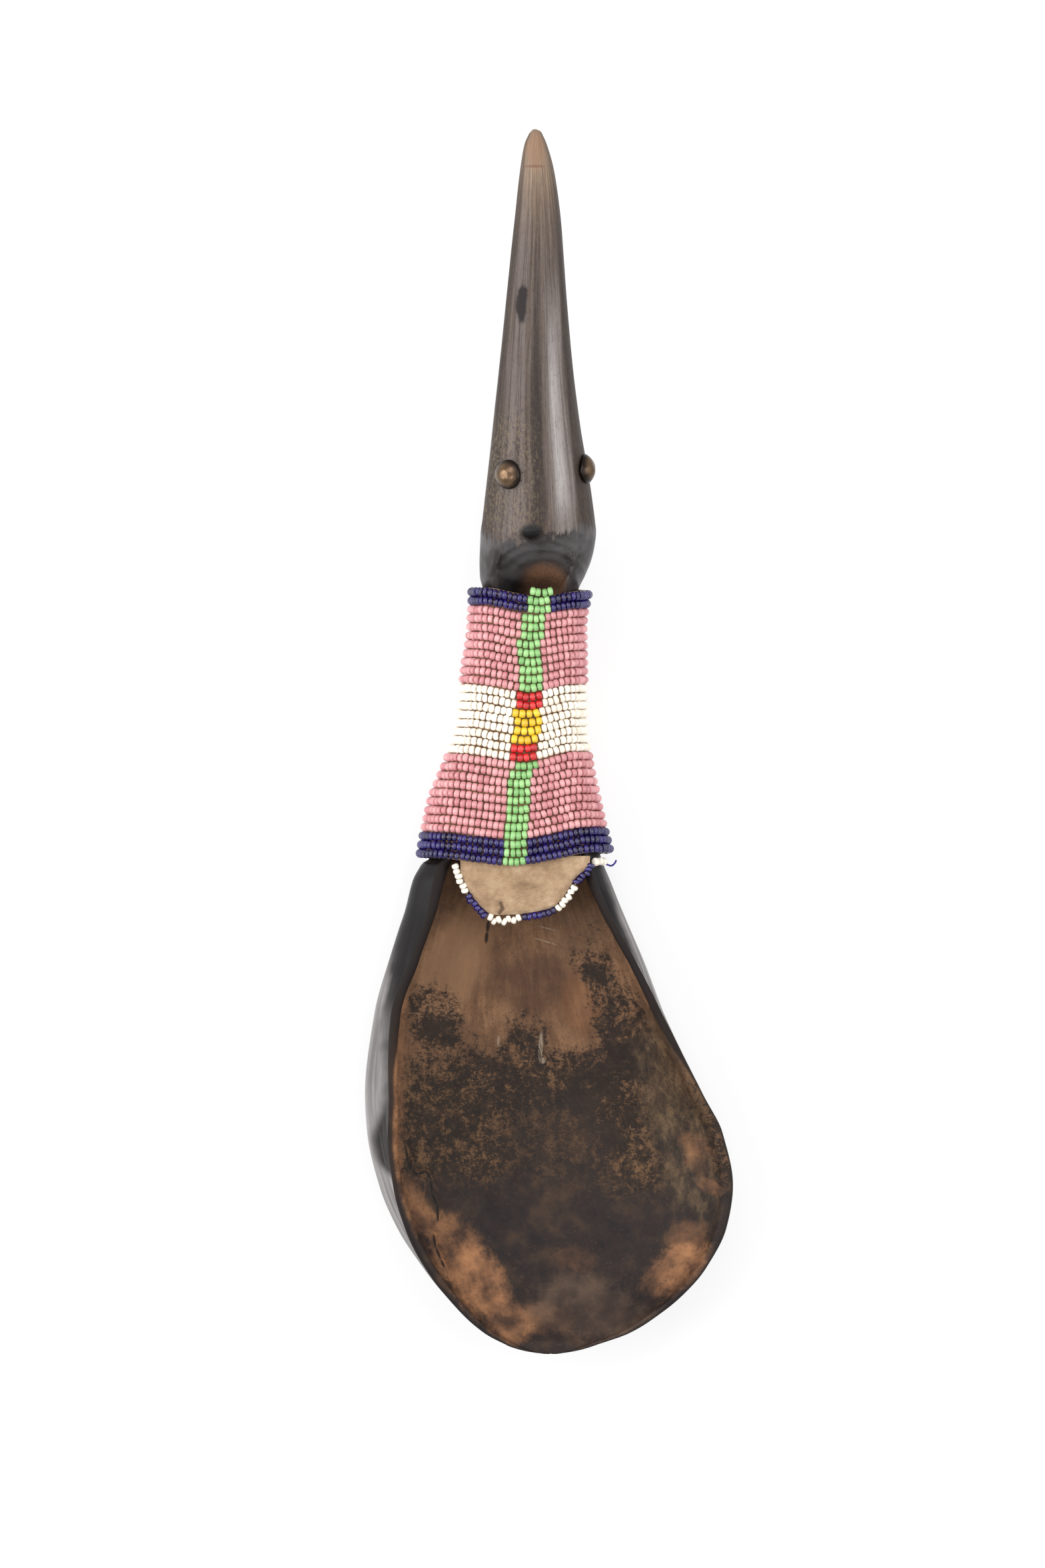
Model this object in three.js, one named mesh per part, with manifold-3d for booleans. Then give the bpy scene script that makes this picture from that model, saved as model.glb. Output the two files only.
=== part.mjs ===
// Horn spoon: one carved horn, solid at the tip and opened out into a bowl at the wide end.
// Two domed tacks make the eyes of its bird-like head, and a beaded sleeve of hide goes round its neck.
// Millimetres. +Y runs from the bowl to the tip, +X to the right, +Z up out of the bowl.
// The origin is the middle of the worn flat under the bowl, where the spoon lies on a table.

import * as THREE from "three";
import { mergeVertices } from "three/addons/utils/BufferGeometryUtils.js";
import Module from "manifold-3d";

// The horn, from its lip to its tip: the bowl, the neck under the sleeve and the solid head.
// "Along" is measured from where the bowl ends and the neck begins, positive towards the tip.
const WALL = 3.4;
const SIDE_WALL = 2.2;
const BOWL_LENGTH = 105.3;
const BOWL_WIDTH = 78.5;
const BOWL_DEPTH = 18;
const LIP_X = 3.7;
const LIP_HEIGHT = 13.2;
const NECK_WIDTH = 36.8;
const NECK_DEPTH = 8.7;
const NECK_HEIGHT = 3.37;
const NECK_BARE = 1.05;
const HEAD_LENGTH = 98.1;
const HEAD_WIDTH = 24.55;
const HEAD_DEPTH = 10.7;
const TIP_X = 0.45;
const TIP_RISE = 41.73;
const FLAT_X = 1;
const FLAT_PLACE = 0.5033;

// Each section of the horn is an arc of an ellipse, from its left rim round the back to its right rim.
// Columns: place along, left and right silhouette, height of the back and half depth, all as shares of
// the sizes above; left and right curl in degrees from straight down; and how far the front is
// hollowed, from 0 (solid) to 1 (a channel). Places in the bowl are measured towards its lip.
const BOWL_SECTIONS = [
  [0.9848, -0.065, 0.1605, 0.7879, 0.2056, 90, 90, 1],
  [0.9592, -0.1299, 0.2573, 0.6515, 0.3389, 90, 90, 1],
  [0.9307, -0.1771, 0.3223, 0.5303, 0.4833, 91, 89, 1],
  [0.8765, -0.2446, 0.414, 0.3409, 0.6778, 93, 87, 1],
  [0.8224, -0.3006, 0.4739, 0.2045, 0.8222, 99, 83, 1],
  [0.7417, -0.3707, 0.5261, 0.0758, 0.9333, 108, 77, 1],
  [0.661, -0.4178, 0.5427, 0, 0.9778, 113, 73, 1],
  [0.5527, -0.451, 0.5134, -0.0379, 0.9944, 118, 73, 1],
  [0.4748, -0.4573, 0.4611, -0.0379, 0.9833, 121, 77, 1],
  [0.3105, -0.4318, 0.3541, 0.0152, 0.8611, 118, 95, 1],
  [0.2023, -0.3924, 0.2981, 0.0985, 0.7111, 124, 108, 1],
  [0.094, -0.3452, 0.2357, 0.197, 0.5611, 128, 117, 1],
  [0.0408, -0.3159, 0.2076, 0.2348, 0.5, 128, 120, 1],
];
const NECK_SECTIONS = [
  [0, -0.6033, 0.3967, 0, 0.977, 126, 122, 1],
  [0.2246, -0.5272, 0.3071, 0, 0.9885, 125, 125, 1],
  [0.3596, -0.4457, 0.2636, 0, 1, 125, 125, 1],
  [0.5053, -0.3696, 0.231, 0.0031, 1.0115, 125, 125, 1],
  [0.7228, -0.3315, 0.2283, 0.0367, 1, 125, 125, 1],
  [0.8719, -0.2962, 0.2255, 0.0774, 0.9885, 125, 125, 1],
];
const HEAD_SECTIONS = [
  [0, -0.4318, 0.3829, 0.1205, 0.8131, 125, 125, 0.85],
  [0.0347, -0.4603, 0.4481, 0.1301, 0.8785, 127, 127, 0.6],
  [0.0703, -0.4644, 0.5051, 0.1373, 0.9533, 128, 128, 0.36],
  [0.1019, -0.4603, 0.5336, 0.1445, 0.9907, 129, 129, 0.14],
  [0.1284, -0.4562, 0.5438, 0.1541, 1, 130, 130, 0.02],
  [0.1529, -0.444, 0.5336, 0.1637, 1, 130, 130, 0],
  [0.2446, -0.4033, 0.4847, 0.2164, 0.9439, 130, 130, 0],
  [0.3598, -0.3544, 0.4114, 0.3003, 0.8411, 130, 130, 0],
  [0.5046, -0.2933, 0.3422, 0.4249, 0.7009, 130, 130, 0],
  [0.6493, -0.2322, 0.2933, 0.5663, 0.5794, 130, 130, 0],
  [0.7951, -0.167, 0.2444, 0.722, 0.4579, 130, 130, 0],
  [0.9103, -0.1161, 0.1792, 0.8586, 0.3178, 130, 130, 0],
  [0.9684, -0.0774, 0.1141, 0.9329, 0.2056, 130, 130, 0],
  [0.9908, -0.0367, 0.0733, 0.9688, 0.1215, 130, 130, 0],
];
const SECTION_SPACING = 8;
const OUTER_STEPS = 24;
const INNER_STEPS = 14;

// The sleeve: rows of beads, counted from the bowl end, sewn to hide that is drawn round the neck.
const FIT_GAP = 0.3;
const HIDE_THICKNESS = 1;
const BEAD_HEIGHT = 1.75;
const ROW_VALLEY = 0.55;
const ROW_PITCH = 1.85;
const SLEEVE_ALONG = -1.4;
const ROWS = { navy_bottom: 3, pink_lower: 9, white: 8, pink_upper: 9, navy_top: 2 };
const STRIPE_ROWS = { green_lower: 12, red_lower: 2, yellow: 4, red_upper: 2, green_upper: 12 };
const ROW_RISE = 2.2;
const STRIPE_WIDTH = 5.7;
const STRIPE_BOTTOM_X = -4.1;
const STRIPE_TOP_X = 2.1;
const FRONT_CROWN = 1.3;
const SEAM_WIDTH = 2.4;
const SINEW_DIAMETER = 0.6;
const STITCH_PITCH = 3.7;
const FRONT_STEPS = 3;
const HIDE_RINGS = 10;

// The tongue of hide below the sleeve, and the beads sewn round its edge.
const TONGUE_X = -2.4;
const TONGUE_WIDTH = 27.4;
const TONGUE_LENGTH = 11.3;
const TONGUE_DROP = 0.25;
const TONGUE_CURVE = 0.003;
const TONGUE_BOW = 0.6;
const EDGE_BEAD_DIAMETER = 1.7;
const EDGE_BEAD_PITCH = 1.35;
const EDGE_GAP = 0.25;
// Places on the edge, as shares of the tongue's width from its middle and of its length from its root.
const LEFT_EDGE = [[-0.5, 0.106], [-0.471, 0.292], [-0.42, 0.522], [-0.343, 0.761], [-0.263, 0.929]];
const END_EDGE = [[-0.182, 1], [-0.08, 0.973], [0.044, 0.92], [0.168, 0.867]];
const RIGHT_EDGE = [[0.5, 0.106], [0.442, 0.221], [0.394, 0.398], [0.339, 0.602], [0.266, 0.788]];
const EDGE_RUNS = [
  ["white", 5],
  ["navy", 5],
  ["white", 6],
  ["navy", 5],
  ["white", 5],
  ["navy", 4],
];
const END_STRAND_BEADS = 3;

// The tacks: a domed head on a shank in a drilled hole, one on each side of the head's middle line.
const TACK_HEAD_DIAMETER = 6.3;
const TACK_HEAD_HEIGHT = 2;
const TACK_HEAD_EDGE = 0.5;
const TACK_SHANK_DIAMETER = 1.5;
const TACK_SHANK_LENGTH = 7;
const TACK_POINT_LENGTH = 2;
const HEAD_TWIST = 19;
const EYE_SPREAD = 55;
const EYE_FROM_NECK = { left: 25, right: 26.2 };

const COLOURS = {
  horn: 0x3a2f28,
  brass: 0x6b5132,
  hide: 0xa58764,
  navy: 0x2a2078,
  pink: 0xd7828c,
  white: 0xe9e4da,
  green: 0x74d46a,
  red: 0xd01f2c,
  yellow: 0xe6b422,
  sinew: 0xb39c74,
};

const wasm = await Module();
wasm.setup();

const radians = (degrees) => (degrees * Math.PI) / 180;
const mix = (a, b, share) => a + (b - a) * share;
const count = (rows) => Object.values(rows).reduce((sum, n) => sum + n, 0);
const TOTAL_ROWS = count(ROWS);
const SLEEVE_LENGTH = TOTAL_ROWS * ROW_PITCH;
const BEAD_INNER = FIT_GAP + HIDE_THICKNESS + FIT_GAP;
const NECK_LENGTH = SLEEVE_ALONG + SLEEVE_LENGTH + NECK_BARE;
const LIP_ALONG = -BOWL_LENGTH;
const TIP_ALONG = NECK_LENGTH + HEAD_LENGTH;
const TIP_HEIGHT = NECK_HEIGHT + TIP_RISE;
const FLAT_ALONG = -FLAT_PLACE * BOWL_LENGTH;

// A smooth curve through the given points that never overshoots them.
function smoothThrough(xs, ys) {
  const slopes = xs.slice(1).map((x, i) => (ys[i + 1] - ys[i]) / (x - xs[i]));
  const tangents = xs.map((_, i) => {
    if (i === 0) return slopes[0];
    if (i === xs.length - 1) return slopes[i - 1];
    if (slopes[i - 1] * slopes[i] <= 0) return 0;
    return (2 * slopes[i - 1] * slopes[i]) / (slopes[i - 1] + slopes[i]);
  });
  return (x) => {
    let i = 0;
    while (i < xs.length - 2 && x > xs[i + 1]) i += 1;
    const span = xs[i + 1] - xs[i];
    const t = THREE.MathUtils.clamp((x - xs[i]) / span, 0, 1);
    const rise = t * t * (3 - 2 * t);
    const ease = t * (1 - t) * (1 - t) * tangents[i] - t * t * (1 - t) * tangents[i + 1];
    return mix(ys[i], ys[i + 1], rise) + span * ease;
  };
}

// Turns a table of shares into sizes, from where it starts and the height its back starts from.
function sized(table, { start, length, width, depth, from, rise }) {
  return table.map(([place, left, right, back, half, ...rest]) => {
    return [start + place * length, left * width, right * width, from + back * rise, half * depth, ...rest];
  });
}

const towardsLip = { start: 0, length: -BOWL_LENGTH, from: 0, rise: LIP_HEIGHT };
const bowl = { ...towardsLip, width: BOWL_WIDTH, depth: BOWL_DEPTH };
const handle = { from: NECK_HEIGHT, rise: TIP_RISE };
const neck = { ...handle, start: 0, length: NECK_LENGTH, width: NECK_WIDTH, depth: NECK_DEPTH };
const head = { ...handle, start: NECK_LENGTH, length: HEAD_LENGTH, width: HEAD_WIDTH, depth: HEAD_DEPTH };
const sections = [
  ...sized(BOWL_SECTIONS, bowl),
  ...sized(NECK_SECTIONS, neck),
  ...sized(HEAD_SECTIONS, head),
];
const alongs = sections.map((row) => row[0]);
const column = (index) => smoothThrough(alongs, sections.map((row) => row[index]));
const [leftAt, rightAt, backAt, depthAt, leftCurlAt, rightCurlAt, hollowAt] =
  [1, 2, 3, 4, 5, 6, 7].map(column);

// The ellipse, rims and hollow of the horn at one place along it.
function sectionAt(along) {
  const left = leftAt(along);
  const right = rightAt(along);
  const leftCurl = radians(leftCurlAt(along));
  const rightCurl = radians(rightCurlAt(along));
  const halfDepth = depthAt(along);
  const middle = (left + right) / 2;
  const half = (right - left) / 2;
  return {
    middle,
    height: backAt(along) + halfDepth,
    halfDepth,
    leftHalf: half / Math.sin(Math.min(leftCurl, Math.PI / 2)),
    rightHalf: half / Math.sin(Math.min(rightCurl, Math.PI / 2)),
    leftCurl,
    rightCurl,
    hollow: hollowAt(along),
  };
}

// A point of the section's ellipse, drawn in by the wall on its inside; the back is worn flat.
function ellipsePoint(section, angle, inwards = 0) {
  const sideways = Math.sin(angle);
  const half = sideways < 0 ? section.leftHalf : section.rightHalf;
  const side = Math.min(inwards * SIDE_WALL, 0.8 * half);
  const floor = Math.min(inwards * WALL, 0.8 * section.halfDepth);
  const x = section.middle + (half - side) * sideways;
  const z = section.height - (section.halfDepth - floor) * Math.cos(angle);
  return [x, Math.max(z, 0)];
}

// The front of the section: over the top where the horn is solid, down the inside where it is hollow.
function frontPoint(section, share) {
  const { leftCurl, rightCurl, hollow } = section;
  const over = mix(rightCurl, 2 * Math.PI - leftCurl, share);
  const under = mix(rightCurl, -leftCurl, share);
  const solid = ellipsePoint(section, over);
  const open = ellipsePoint(section, under, 1);
  return [mix(solid[0], open[0], hollow), mix(solid[1], open[1], hollow)];
}

function steps(number) {
  return Array.from({ length: number + 1 }, (_, i) => i / number);
}

function hornRing(along) {
  const section = sectionAt(along);
  const outer = steps(OUTER_STEPS).map((share) =>
    ellipsePoint(section, mix(-section.leftCurl, section.rightCurl, share)),
  );
  const front = steps(INNER_STEPS).map((share) => frontPoint(section, share));
  return [...outer, ...front].map(([x, z]) => new THREE.Vector3(x, along, z));
}

function signedVolume(points, faces) {
  let sum = 0;
  for (let i = 0; i < faces.length; i += 3) {
    const [a, b, c] = [points[faces[i]], points[faces[i + 1]], points[faces[i + 2]]];
    sum += a.dot(b.clone().cross(c)) / 6;
  }
  return sum;
}

function closedGeometry(points, faces) {
  const outward = signedVolume(points, faces) > 0 ? faces : [...faces].reverse();
  const geometry = new THREE.BufferGeometry().setFromPoints(points);
  geometry.setIndex(outward);
  geometry.computeVertexNormals();
  return geometry;
}

// Joins rings of points that all have the same number of points. An end is closed by a tip point or
// by the triangles of its cap; a loop of rings needs neither.
function loft(rings, { loop = false, tips = null, cap = [] } = {}) {
  const size = rings[0].length;
  const points = rings.flat();
  const faces = [];
  const last = loop ? rings.length : rings.length - 1;
  for (let i = 0; i < last; i += 1) {
    const next = (i + 1) % rings.length;
    for (let j = 0; j < size; j += 1) {
      const k = (j + 1) % size;
      const [a, b, c, d] = [i * size + j, next * size + j, next * size + k, i * size + k];
      faces.push(a, b, c, a, c, d);
    }
  }
  const end = (rings.length - 1) * size;
  if (tips) {
    points.push(...tips);
    const [first, second] = [points.length - 2, points.length - 1];
    for (let j = 0; j < size; j += 1) {
      const k = (j + 1) % size;
      faces.push(first, j, k, second, end + k, end + j);
    }
  }
  for (const [a, b, c] of cap) faces.push(a, b, c, end + a, end + c, end + b);
  return closedGeometry(points, faces);
}

function hornBlank() {
  const places = [alongs[0]];
  for (let i = 1; i < alongs.length; i += 1) {
    const parts = Math.ceil((alongs[i] - alongs[i - 1]) / SECTION_SPACING);
    for (let j = 1; j <= parts; j += 1) places.push(mix(alongs[i - 1], alongs[i], j / parts));
  }
  const lip = new THREE.Vector3(LIP_X, LIP_ALONG, LIP_HEIGHT);
  const tip = new THREE.Vector3(TIP_X, TIP_ALONG, TIP_HEIGHT);
  return loft(places.map(hornRing), { tips: [lip, tip] });
}

function toSolid(geometry) {
  const bare = new THREE.BufferGeometry();
  bare.setAttribute("position", geometry.getAttribute("position"));
  bare.setIndex(geometry.getIndex());
  const merged = mergeVertices(bare, 1e-4);
  return new wasm.Manifold(
    new wasm.Mesh({
      numProp: 3,
      vertProperties: new Float32Array(merged.getAttribute("position").array),
      triVerts: new Uint32Array(merged.getIndex().array),
    }),
  );
}

function fromSolid(solid) {
  const mesh = solid.getMesh();
  const geometry = new THREE.BufferGeometry();
  geometry.setAttribute("position", new THREE.BufferAttribute(mesh.vertProperties, 3));
  geometry.setIndex(new THREE.BufferAttribute(mesh.triVerts, 1));
  geometry.computeVertexNormals();
  return geometry;
}

// Where a tack goes in: a point on the horn and the direction straight out of it there.
function eyeSeat(side) {
  const sign = side === "left" ? -1 : 1;
  const fromTop = radians(HEAD_TWIST + sign * EYE_SPREAD);
  const angle = Math.PI - fromTop;
  const at = (along, turn) => {
    const [x, z] = ellipsePoint(sectionAt(along), turn);
    return new THREE.Vector3(x, along, z);
  };
  const along = NECK_LENGTH + EYE_FROM_NECK[side];
  const point = at(along, angle);
  const alongWay = at(along + 1, angle).sub(at(along - 1, angle));
  const aroundWay = at(along, angle + 0.02).sub(at(along, angle - 0.02));
  const normal = alongWay.cross(aroundWay).normalize();
  if (normal.dot(point.clone().sub(new THREE.Vector3(TIP_X, along, sectionAt(along).height))) < 0) {
    normal.negate();
  }
  return { point, normal };
}

function turnTo(normal) {
  return new THREE.Quaternion().setFromUnitVectors(new THREE.Vector3(0, 1, 0), normal);
}

function tackGeometry() {
  const headRadius = TACK_HEAD_DIAMETER / 2;
  const shankRadius = TACK_SHANK_DIAMETER / 2;
  const dome = steps(4).map((share) => {
    const angle = (share * Math.PI) / 2;
    const rise = (TACK_HEAD_HEIGHT - TACK_HEAD_EDGE) * Math.sin(angle);
    return new THREE.Vector2(headRadius * Math.cos(angle), TACK_HEAD_EDGE + rise);
  });
  dome[dome.length - 1].x = 0;
  const profile = [
    new THREE.Vector2(0, -TACK_SHANK_LENGTH),
    new THREE.Vector2(shankRadius, TACK_POINT_LENGTH - TACK_SHANK_LENGTH),
    new THREE.Vector2(shankRadius, 0),
    new THREE.Vector2(headRadius, 0),
    ...dome,
  ];
  return fromSolid(toSolid(new THREE.LatheGeometry(profile, 14)));
}

function drilledHorn() {
  const radius = TACK_SHANK_DIAMETER / 2 + FIT_GAP;
  const depth = TACK_SHANK_LENGTH + FIT_GAP;
  const hole = new THREE.CylinderGeometry(radius, radius, 2 * depth, 10);
  return Object.keys(EYE_FROM_NECK).reduce((horn, side) => {
    const { point, normal } = eyeSeat(side);
    const drill = hole.clone().applyQuaternion(turnTo(normal));
    drill.translate(point.x, point.y, point.z);
    return horn.subtract(toSolid(drill));
  }, toSolid(hornBlank()));
}

// The closed outline of the neck. From 0 to 1 it runs from the right rim round the back to the left
// rim, and from 1 to 2 across the front, which is slightly crowned.
function neckOutline(turn, along) {
  const section = sectionAt(along);
  const wrapped = ((turn % 2) + 2) % 2;
  if (wrapped <= 1) return ellipsePoint(section, mix(section.rightCurl, -section.leftCurl, wrapped));
  const share = wrapped - 1;
  const left = ellipsePoint(section, -section.leftCurl);
  const right = ellipsePoint(section, section.rightCurl);
  const crown = 4 * FRONT_CROWN * share * (1 - share);
  return [mix(left[0], right[0], share), mix(left[1], right[1], share) + crown];
}

function neckPoint(turn, along, offset) {
  const [x, z] = neckOutline(turn, along);
  const before = neckOutline(turn - 0.01, along);
  const after = neckOutline(turn + 0.01, along);
  const [dx, dz] = [after[0] - before[0], after[1] - before[1]];
  const length = Math.hypot(dx, dz);
  return new THREE.Vector3(x - (offset * dz) / length, along, z + (offset * dx) / length);
}

function stripeCentre(along) {
  return mix(STRIPE_BOTTOM_X, STRIPE_TOP_X, (along - SLEEVE_ALONG) / SLEEVE_LENGTH);
}

// How far the rows rise from the stripe towards the sides, and the turn where the front has this x.
function riseAt(x, along) {
  const centre = stripeCentre(along);
  const rim = neckOutline(x < centre ? 1 : 0, along)[0];
  return ROW_RISE * Math.min(1, (x - centre) / (rim - centre));
}

function frontTurn(x, along) {
  const left = neckOutline(1, along)[0];
  const right = neckOutline(0, along)[0];
  return 1 + (x - left) / (right - left);
}

// A point of the sleeve: a place round it, a row counted from the bowl end, and a height off the neck.
// A place on the front is given by its x at the row; one on the back by its turn.
function sleevePoint(place, row, offset, shift = 0) {
  const plain = SLEEVE_ALONG + row * ROW_PITCH + shift;
  if (place.turn !== undefined) return neckPoint(place.turn, plain + ROW_RISE, offset);
  const x = place.x(plain);
  const along = plain + riseAt(x, plain);
  return neckPoint(frontTurn(x, along), along, offset);
}

// The places round one half of the sleeve, from the stripe over the rim to the seam at the back.
function halfPlaces(side) {
  const rimTurn = side > 0 ? 0 : 1;
  const stripeEdge = (along) => stripeCentre(along) + (side * (STRIPE_WIDTH + FIT_GAP)) / 2;
  const front = steps(FRONT_STEPS)
    .slice(0, -1)
    .map((share) => ({
      x: (along) => mix(stripeEdge(along), neckOutline(rimTurn, along)[0], share),
    }));
  const backSteps = OUTER_STEPS / 2;
  const width = rightAt(SLEEVE_ALONG) - leftAt(SLEEVE_ALONG);
  const seam = SEAM_WIDTH / 2 / width;
  const back = steps(backSteps).map((share) => ({
    turn: rimTurn + side * Math.min(share / 2, 0.5 - seam),
  }));
  return [...front, ...back];
}

// A run of rows round some places of the sleeve: one crest for each row over a smooth inside.
function beadedBand(places, firstRow, rows) {
  const crest = BEAD_INNER + BEAD_HEIGHT;
  const valley = crest - ROW_VALLEY;
  const outline = [];
  const inside = [];
  const cap = [];
  for (let row = 0; row <= rows; row += 1) {
    const shift = row === 0 ? FIT_GAP / 2 : row === rows ? -FIT_GAP / 2 : 0;
    outline.push([firstRow + row, valley, shift]);
    inside.unshift([firstRow + row, BEAD_INNER, shift]);
    if (row === rows) continue;
    outline.push([firstRow + row + 0.5, crest, 0]);
    const [low, high, under] = [2 * row, 2 * row + 2, 3 * rows + 1 - row];
    cap.push([low, low + 1, high], [low, high, under - 1], [low, under - 1, under]);
  }
  const rings = places.map((place) =>
    [...outline, ...inside].map(([row, offset, shift]) => sleevePoint(place, row, offset, shift)),
  );
  return loft(rings, { cap });
}

function stripePlaces() {
  const reach = (STRIPE_WIDTH - FIT_GAP) / 2;
  return [-1, 0, 1].map((share) => ({ x: (along) => stripeCentre(along) + share * reach }));
}

function hideSleeve() {
  const back = steps(OUTER_STEPS).map((share) => ({ turn: share }));
  const crossing = steps(2 * FRONT_STEPS + 2).slice(1, -1);
  const front = crossing.map((share) => ({
    x: (along) => mix(neckOutline(1, along)[0], neckOutline(0, along)[0], share),
  }));
  const inner = steps(HIDE_RINGS).map((share) => [share * TOTAL_ROWS, FIT_GAP]);
  const outer = steps(HIDE_RINGS).map((share) => {
    return [(1 - share) * TOTAL_ROWS, FIT_GAP + HIDE_THICKNESS];
  });
  const rings = [...back, ...front].map((place) =>
    [...inner, ...outer].map(([row, offset]) => sleevePoint(place, row, offset)),
  );
  return loft(rings, { loop: true });
}

// A round strand along a line of points, thinner between its beads.
function strand(curve, beads, diameter, waist, sides = 6) {
  const stations = [];
  for (let bead = 0; bead < beads; bead += 1) {
    stations.push([bead / beads, waist], [(bead + 0.3) / beads, 1], [(bead + 0.7) / beads, 1]);
  }
  stations.push([1, waist]);
  const up = new THREE.Vector3(0, 0, 1);
  const rings = stations.map(([share, width]) => {
    const centre = curve.getPointAt(share);
    const way = curve.getTangentAt(share);
    const side = way.clone().cross(up).normalize();
    const over = side.clone().cross(way);
    return Array.from({ length: sides }, (_, i) => {
      const angle = (2 * Math.PI * i) / sides;
      return centre
        .clone()
        .addScaledVector(side, (width * diameter * Math.cos(angle)) / 2)
        .addScaledVector(over, (width * diameter * Math.sin(angle)) / 2);
    });
  });
  const cap = Array.from({ length: sides - 2 }, (_, i) => [0, i + 1, i + 2]);
  return loft(rings, { cap });
}

// The sinew that laces the seam at the back, one stitch across and one back for each pitch. It keeps
// one row of beads clear of both ends of the sleeve.
function seamLacing() {
  const length = SLEEVE_LENGTH - 2 * ROW_PITCH;
  const stitches = Math.round(length / STITCH_PITCH);
  const swing = (SEAM_WIDTH - SINEW_DIAMETER) / 2 - FIT_GAP;
  const height = FIT_GAP + HIDE_THICKNESS + FIT_GAP + SINEW_DIAMETER / 2;
  const points = steps(2 * stitches).map((share, i) => {
    const point = sleevePoint({ turn: 0.5 }, 1 + (share * length) / ROW_PITCH, height);
    point.x += i % 2 === 0 ? swing : -swing;
    return point;
  });
  const line = new THREE.CatmullRomCurve3(points, false, "centripetal");
  return strand(line, stitches, SINEW_DIAMETER, 1, 5);
}

// The tongue follows the crown of the sleeve's front at its root and curves down into the bowl.
const TONGUE_ROOT = SLEEVE_ALONG - FIT_GAP;
const onTongue = ([across, down]) => {
  return [TONGUE_X + across * TONGUE_WIDTH, TONGUE_ROOT - down * TONGUE_LENGTH];
};
const leftEdge = LEFT_EDGE.map(onTongue);
const endEdge = END_EDGE.map(onTongue);
const rightEdge = RIGHT_EDGE.map(onTongue);
const TONGUE_TOP = neckPoint(1.5, TONGUE_ROOT, FIT_GAP + HIDE_THICKNESS).z;

function tongueHeight(x, along) {
  const share = THREE.MathUtils.clamp(frontTurn(x, TONGUE_ROOT) - 1, 0, 1);
  const crown = FRONT_CROWN * (1 - 4 * share * (1 - share));
  const down = TONGUE_ROOT - along;
  return TONGUE_TOP - crown - TONGUE_DROP * down - TONGUE_CURVE * down * down;
}

const tonguePath = new THREE.CatmullRomCurve3(
  [...leftEdge, ...endEdge, ...[...rightEdge].reverse()].map(([x, along]) => {
    return new THREE.Vector3(x, along, tongueHeight(x, along) - HIDE_THICKNESS / 2);
  }),
);

// The edge of the hide inside the beads on one side of the tongue: 1 for the left side, -1 for the right.
function hideEdge(beadCentres, side) {
  const inset = EDGE_BEAD_DIAMETER / 2 + EDGE_GAP;
  const last = beadCentres.length - 1;
  return beadCentres.map(([x, along], i) => {
    const before = beadCentres[Math.max(i - 1, 0)];
    const after = beadCentres[Math.min(i + 1, last)];
    const [dx, dy] = [after[0] - before[0], after[1] - before[1]];
    const scale = (side * inset) / Math.hypot(dx, dy);
    return [x - dy * scale, along + dx * scale];
  });
}

function hideTongue() {
  const left = hideEdge(leftEdge, 1);
  const right = hideEdge(rightEdge, -1);
  left.unshift([left[0][0], TONGUE_ROOT]);
  right.unshift([right[0][0], TONGUE_ROOT]);
  const across = steps(6);
  const rings = left.map((from, i) => {
    const to = right[i];
    const bow = (TONGUE_BOW * i * i) / ((left.length - 1) * (left.length - 1));
    const line = across.map((share) => {
      return [mix(from[0], to[0], share), mix(from[1], to[1], share) - 4 * bow * share * (1 - share)];
    });
    const top = line.map(([x, along]) => new THREE.Vector3(x, along, tongueHeight(x, along)));
    const under = [...top].reverse().map((point) => {
      return point.clone().setZ(point.z - HIDE_THICKNESS);
    });
    return [...top, ...under];
  });
  const last = rings[0].length - 1;
  const cap = across.slice(1).flatMap((_, i) => {
    return [[i, i + 1, last - i - 1], [i, last - i - 1, last - i]];
  });
  return loft(rings, { cap });
}

// The part of a curve between two lengths from its start.
function stretch(curve, start, end) {
  const whole = curve.getLength();
  const points = steps(8).map((share) => curve.getPointAt(mix(start, end, share) / whole));
  return new THREE.CatmullRomCurve3(points);
}

function edgeRuns() {
  const whole = tonguePath.getLength();
  const beads = EDGE_RUNS.reduce((sum, run) => sum + run[1], 0);
  const gaps = EDGE_RUNS.length - 1;
  const pitch = (whole - gaps * FIT_GAP) / beads;
  let start = 0;
  return EDGE_RUNS.map(([colour, number], i) => {
    const end = start + number * pitch;
    const geometry = strand(stretch(tonguePath, start, end), number, EDGE_BEAD_DIAMETER, 0.75);
    start = end + FIT_GAP;
    return { name: `tongue_edge_${colour}_${i + 1}`, colour, geometry };
  });
}

// Three more beads of the edging lie on the horn just below the right side of the sleeve.
function endStrand() {
  const height = FIT_GAP + EDGE_BEAD_DIAMETER / 2;
  const below = SLEEVE_ALONG + ROW_RISE - FIT_GAP - EDGE_BEAD_DIAMETER / 2;
  const turns = steps(6).map((share) => neckPoint(0.005 + 0.085 * share, below, height));
  const line = new THREE.CatmullRomCurve3(turns);
  const end = Math.min(1, (END_STRAND_BEADS * EDGE_BEAD_PITCH) / line.getLength());
  return strand(stretch(line, 0, end * line.getLength()), END_STRAND_BEADS, EDGE_BEAD_DIAMETER, 0.75);
}

const FINISHES = {
  horn: { roughness: 0.45, metalness: 0 },
  brass: { roughness: 0.4, metalness: 0.9 },
  hide: { roughness: 0.9, metalness: 0 },
  sinew: { roughness: 0.8, metalness: 0 },
};
const GLASS_FINISH = { roughness: 0.3, metalness: 0 };

const spoon = new THREE.Group();
spoon.position.set(-FLAT_X, -FLAT_ALONG, 0);

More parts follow.
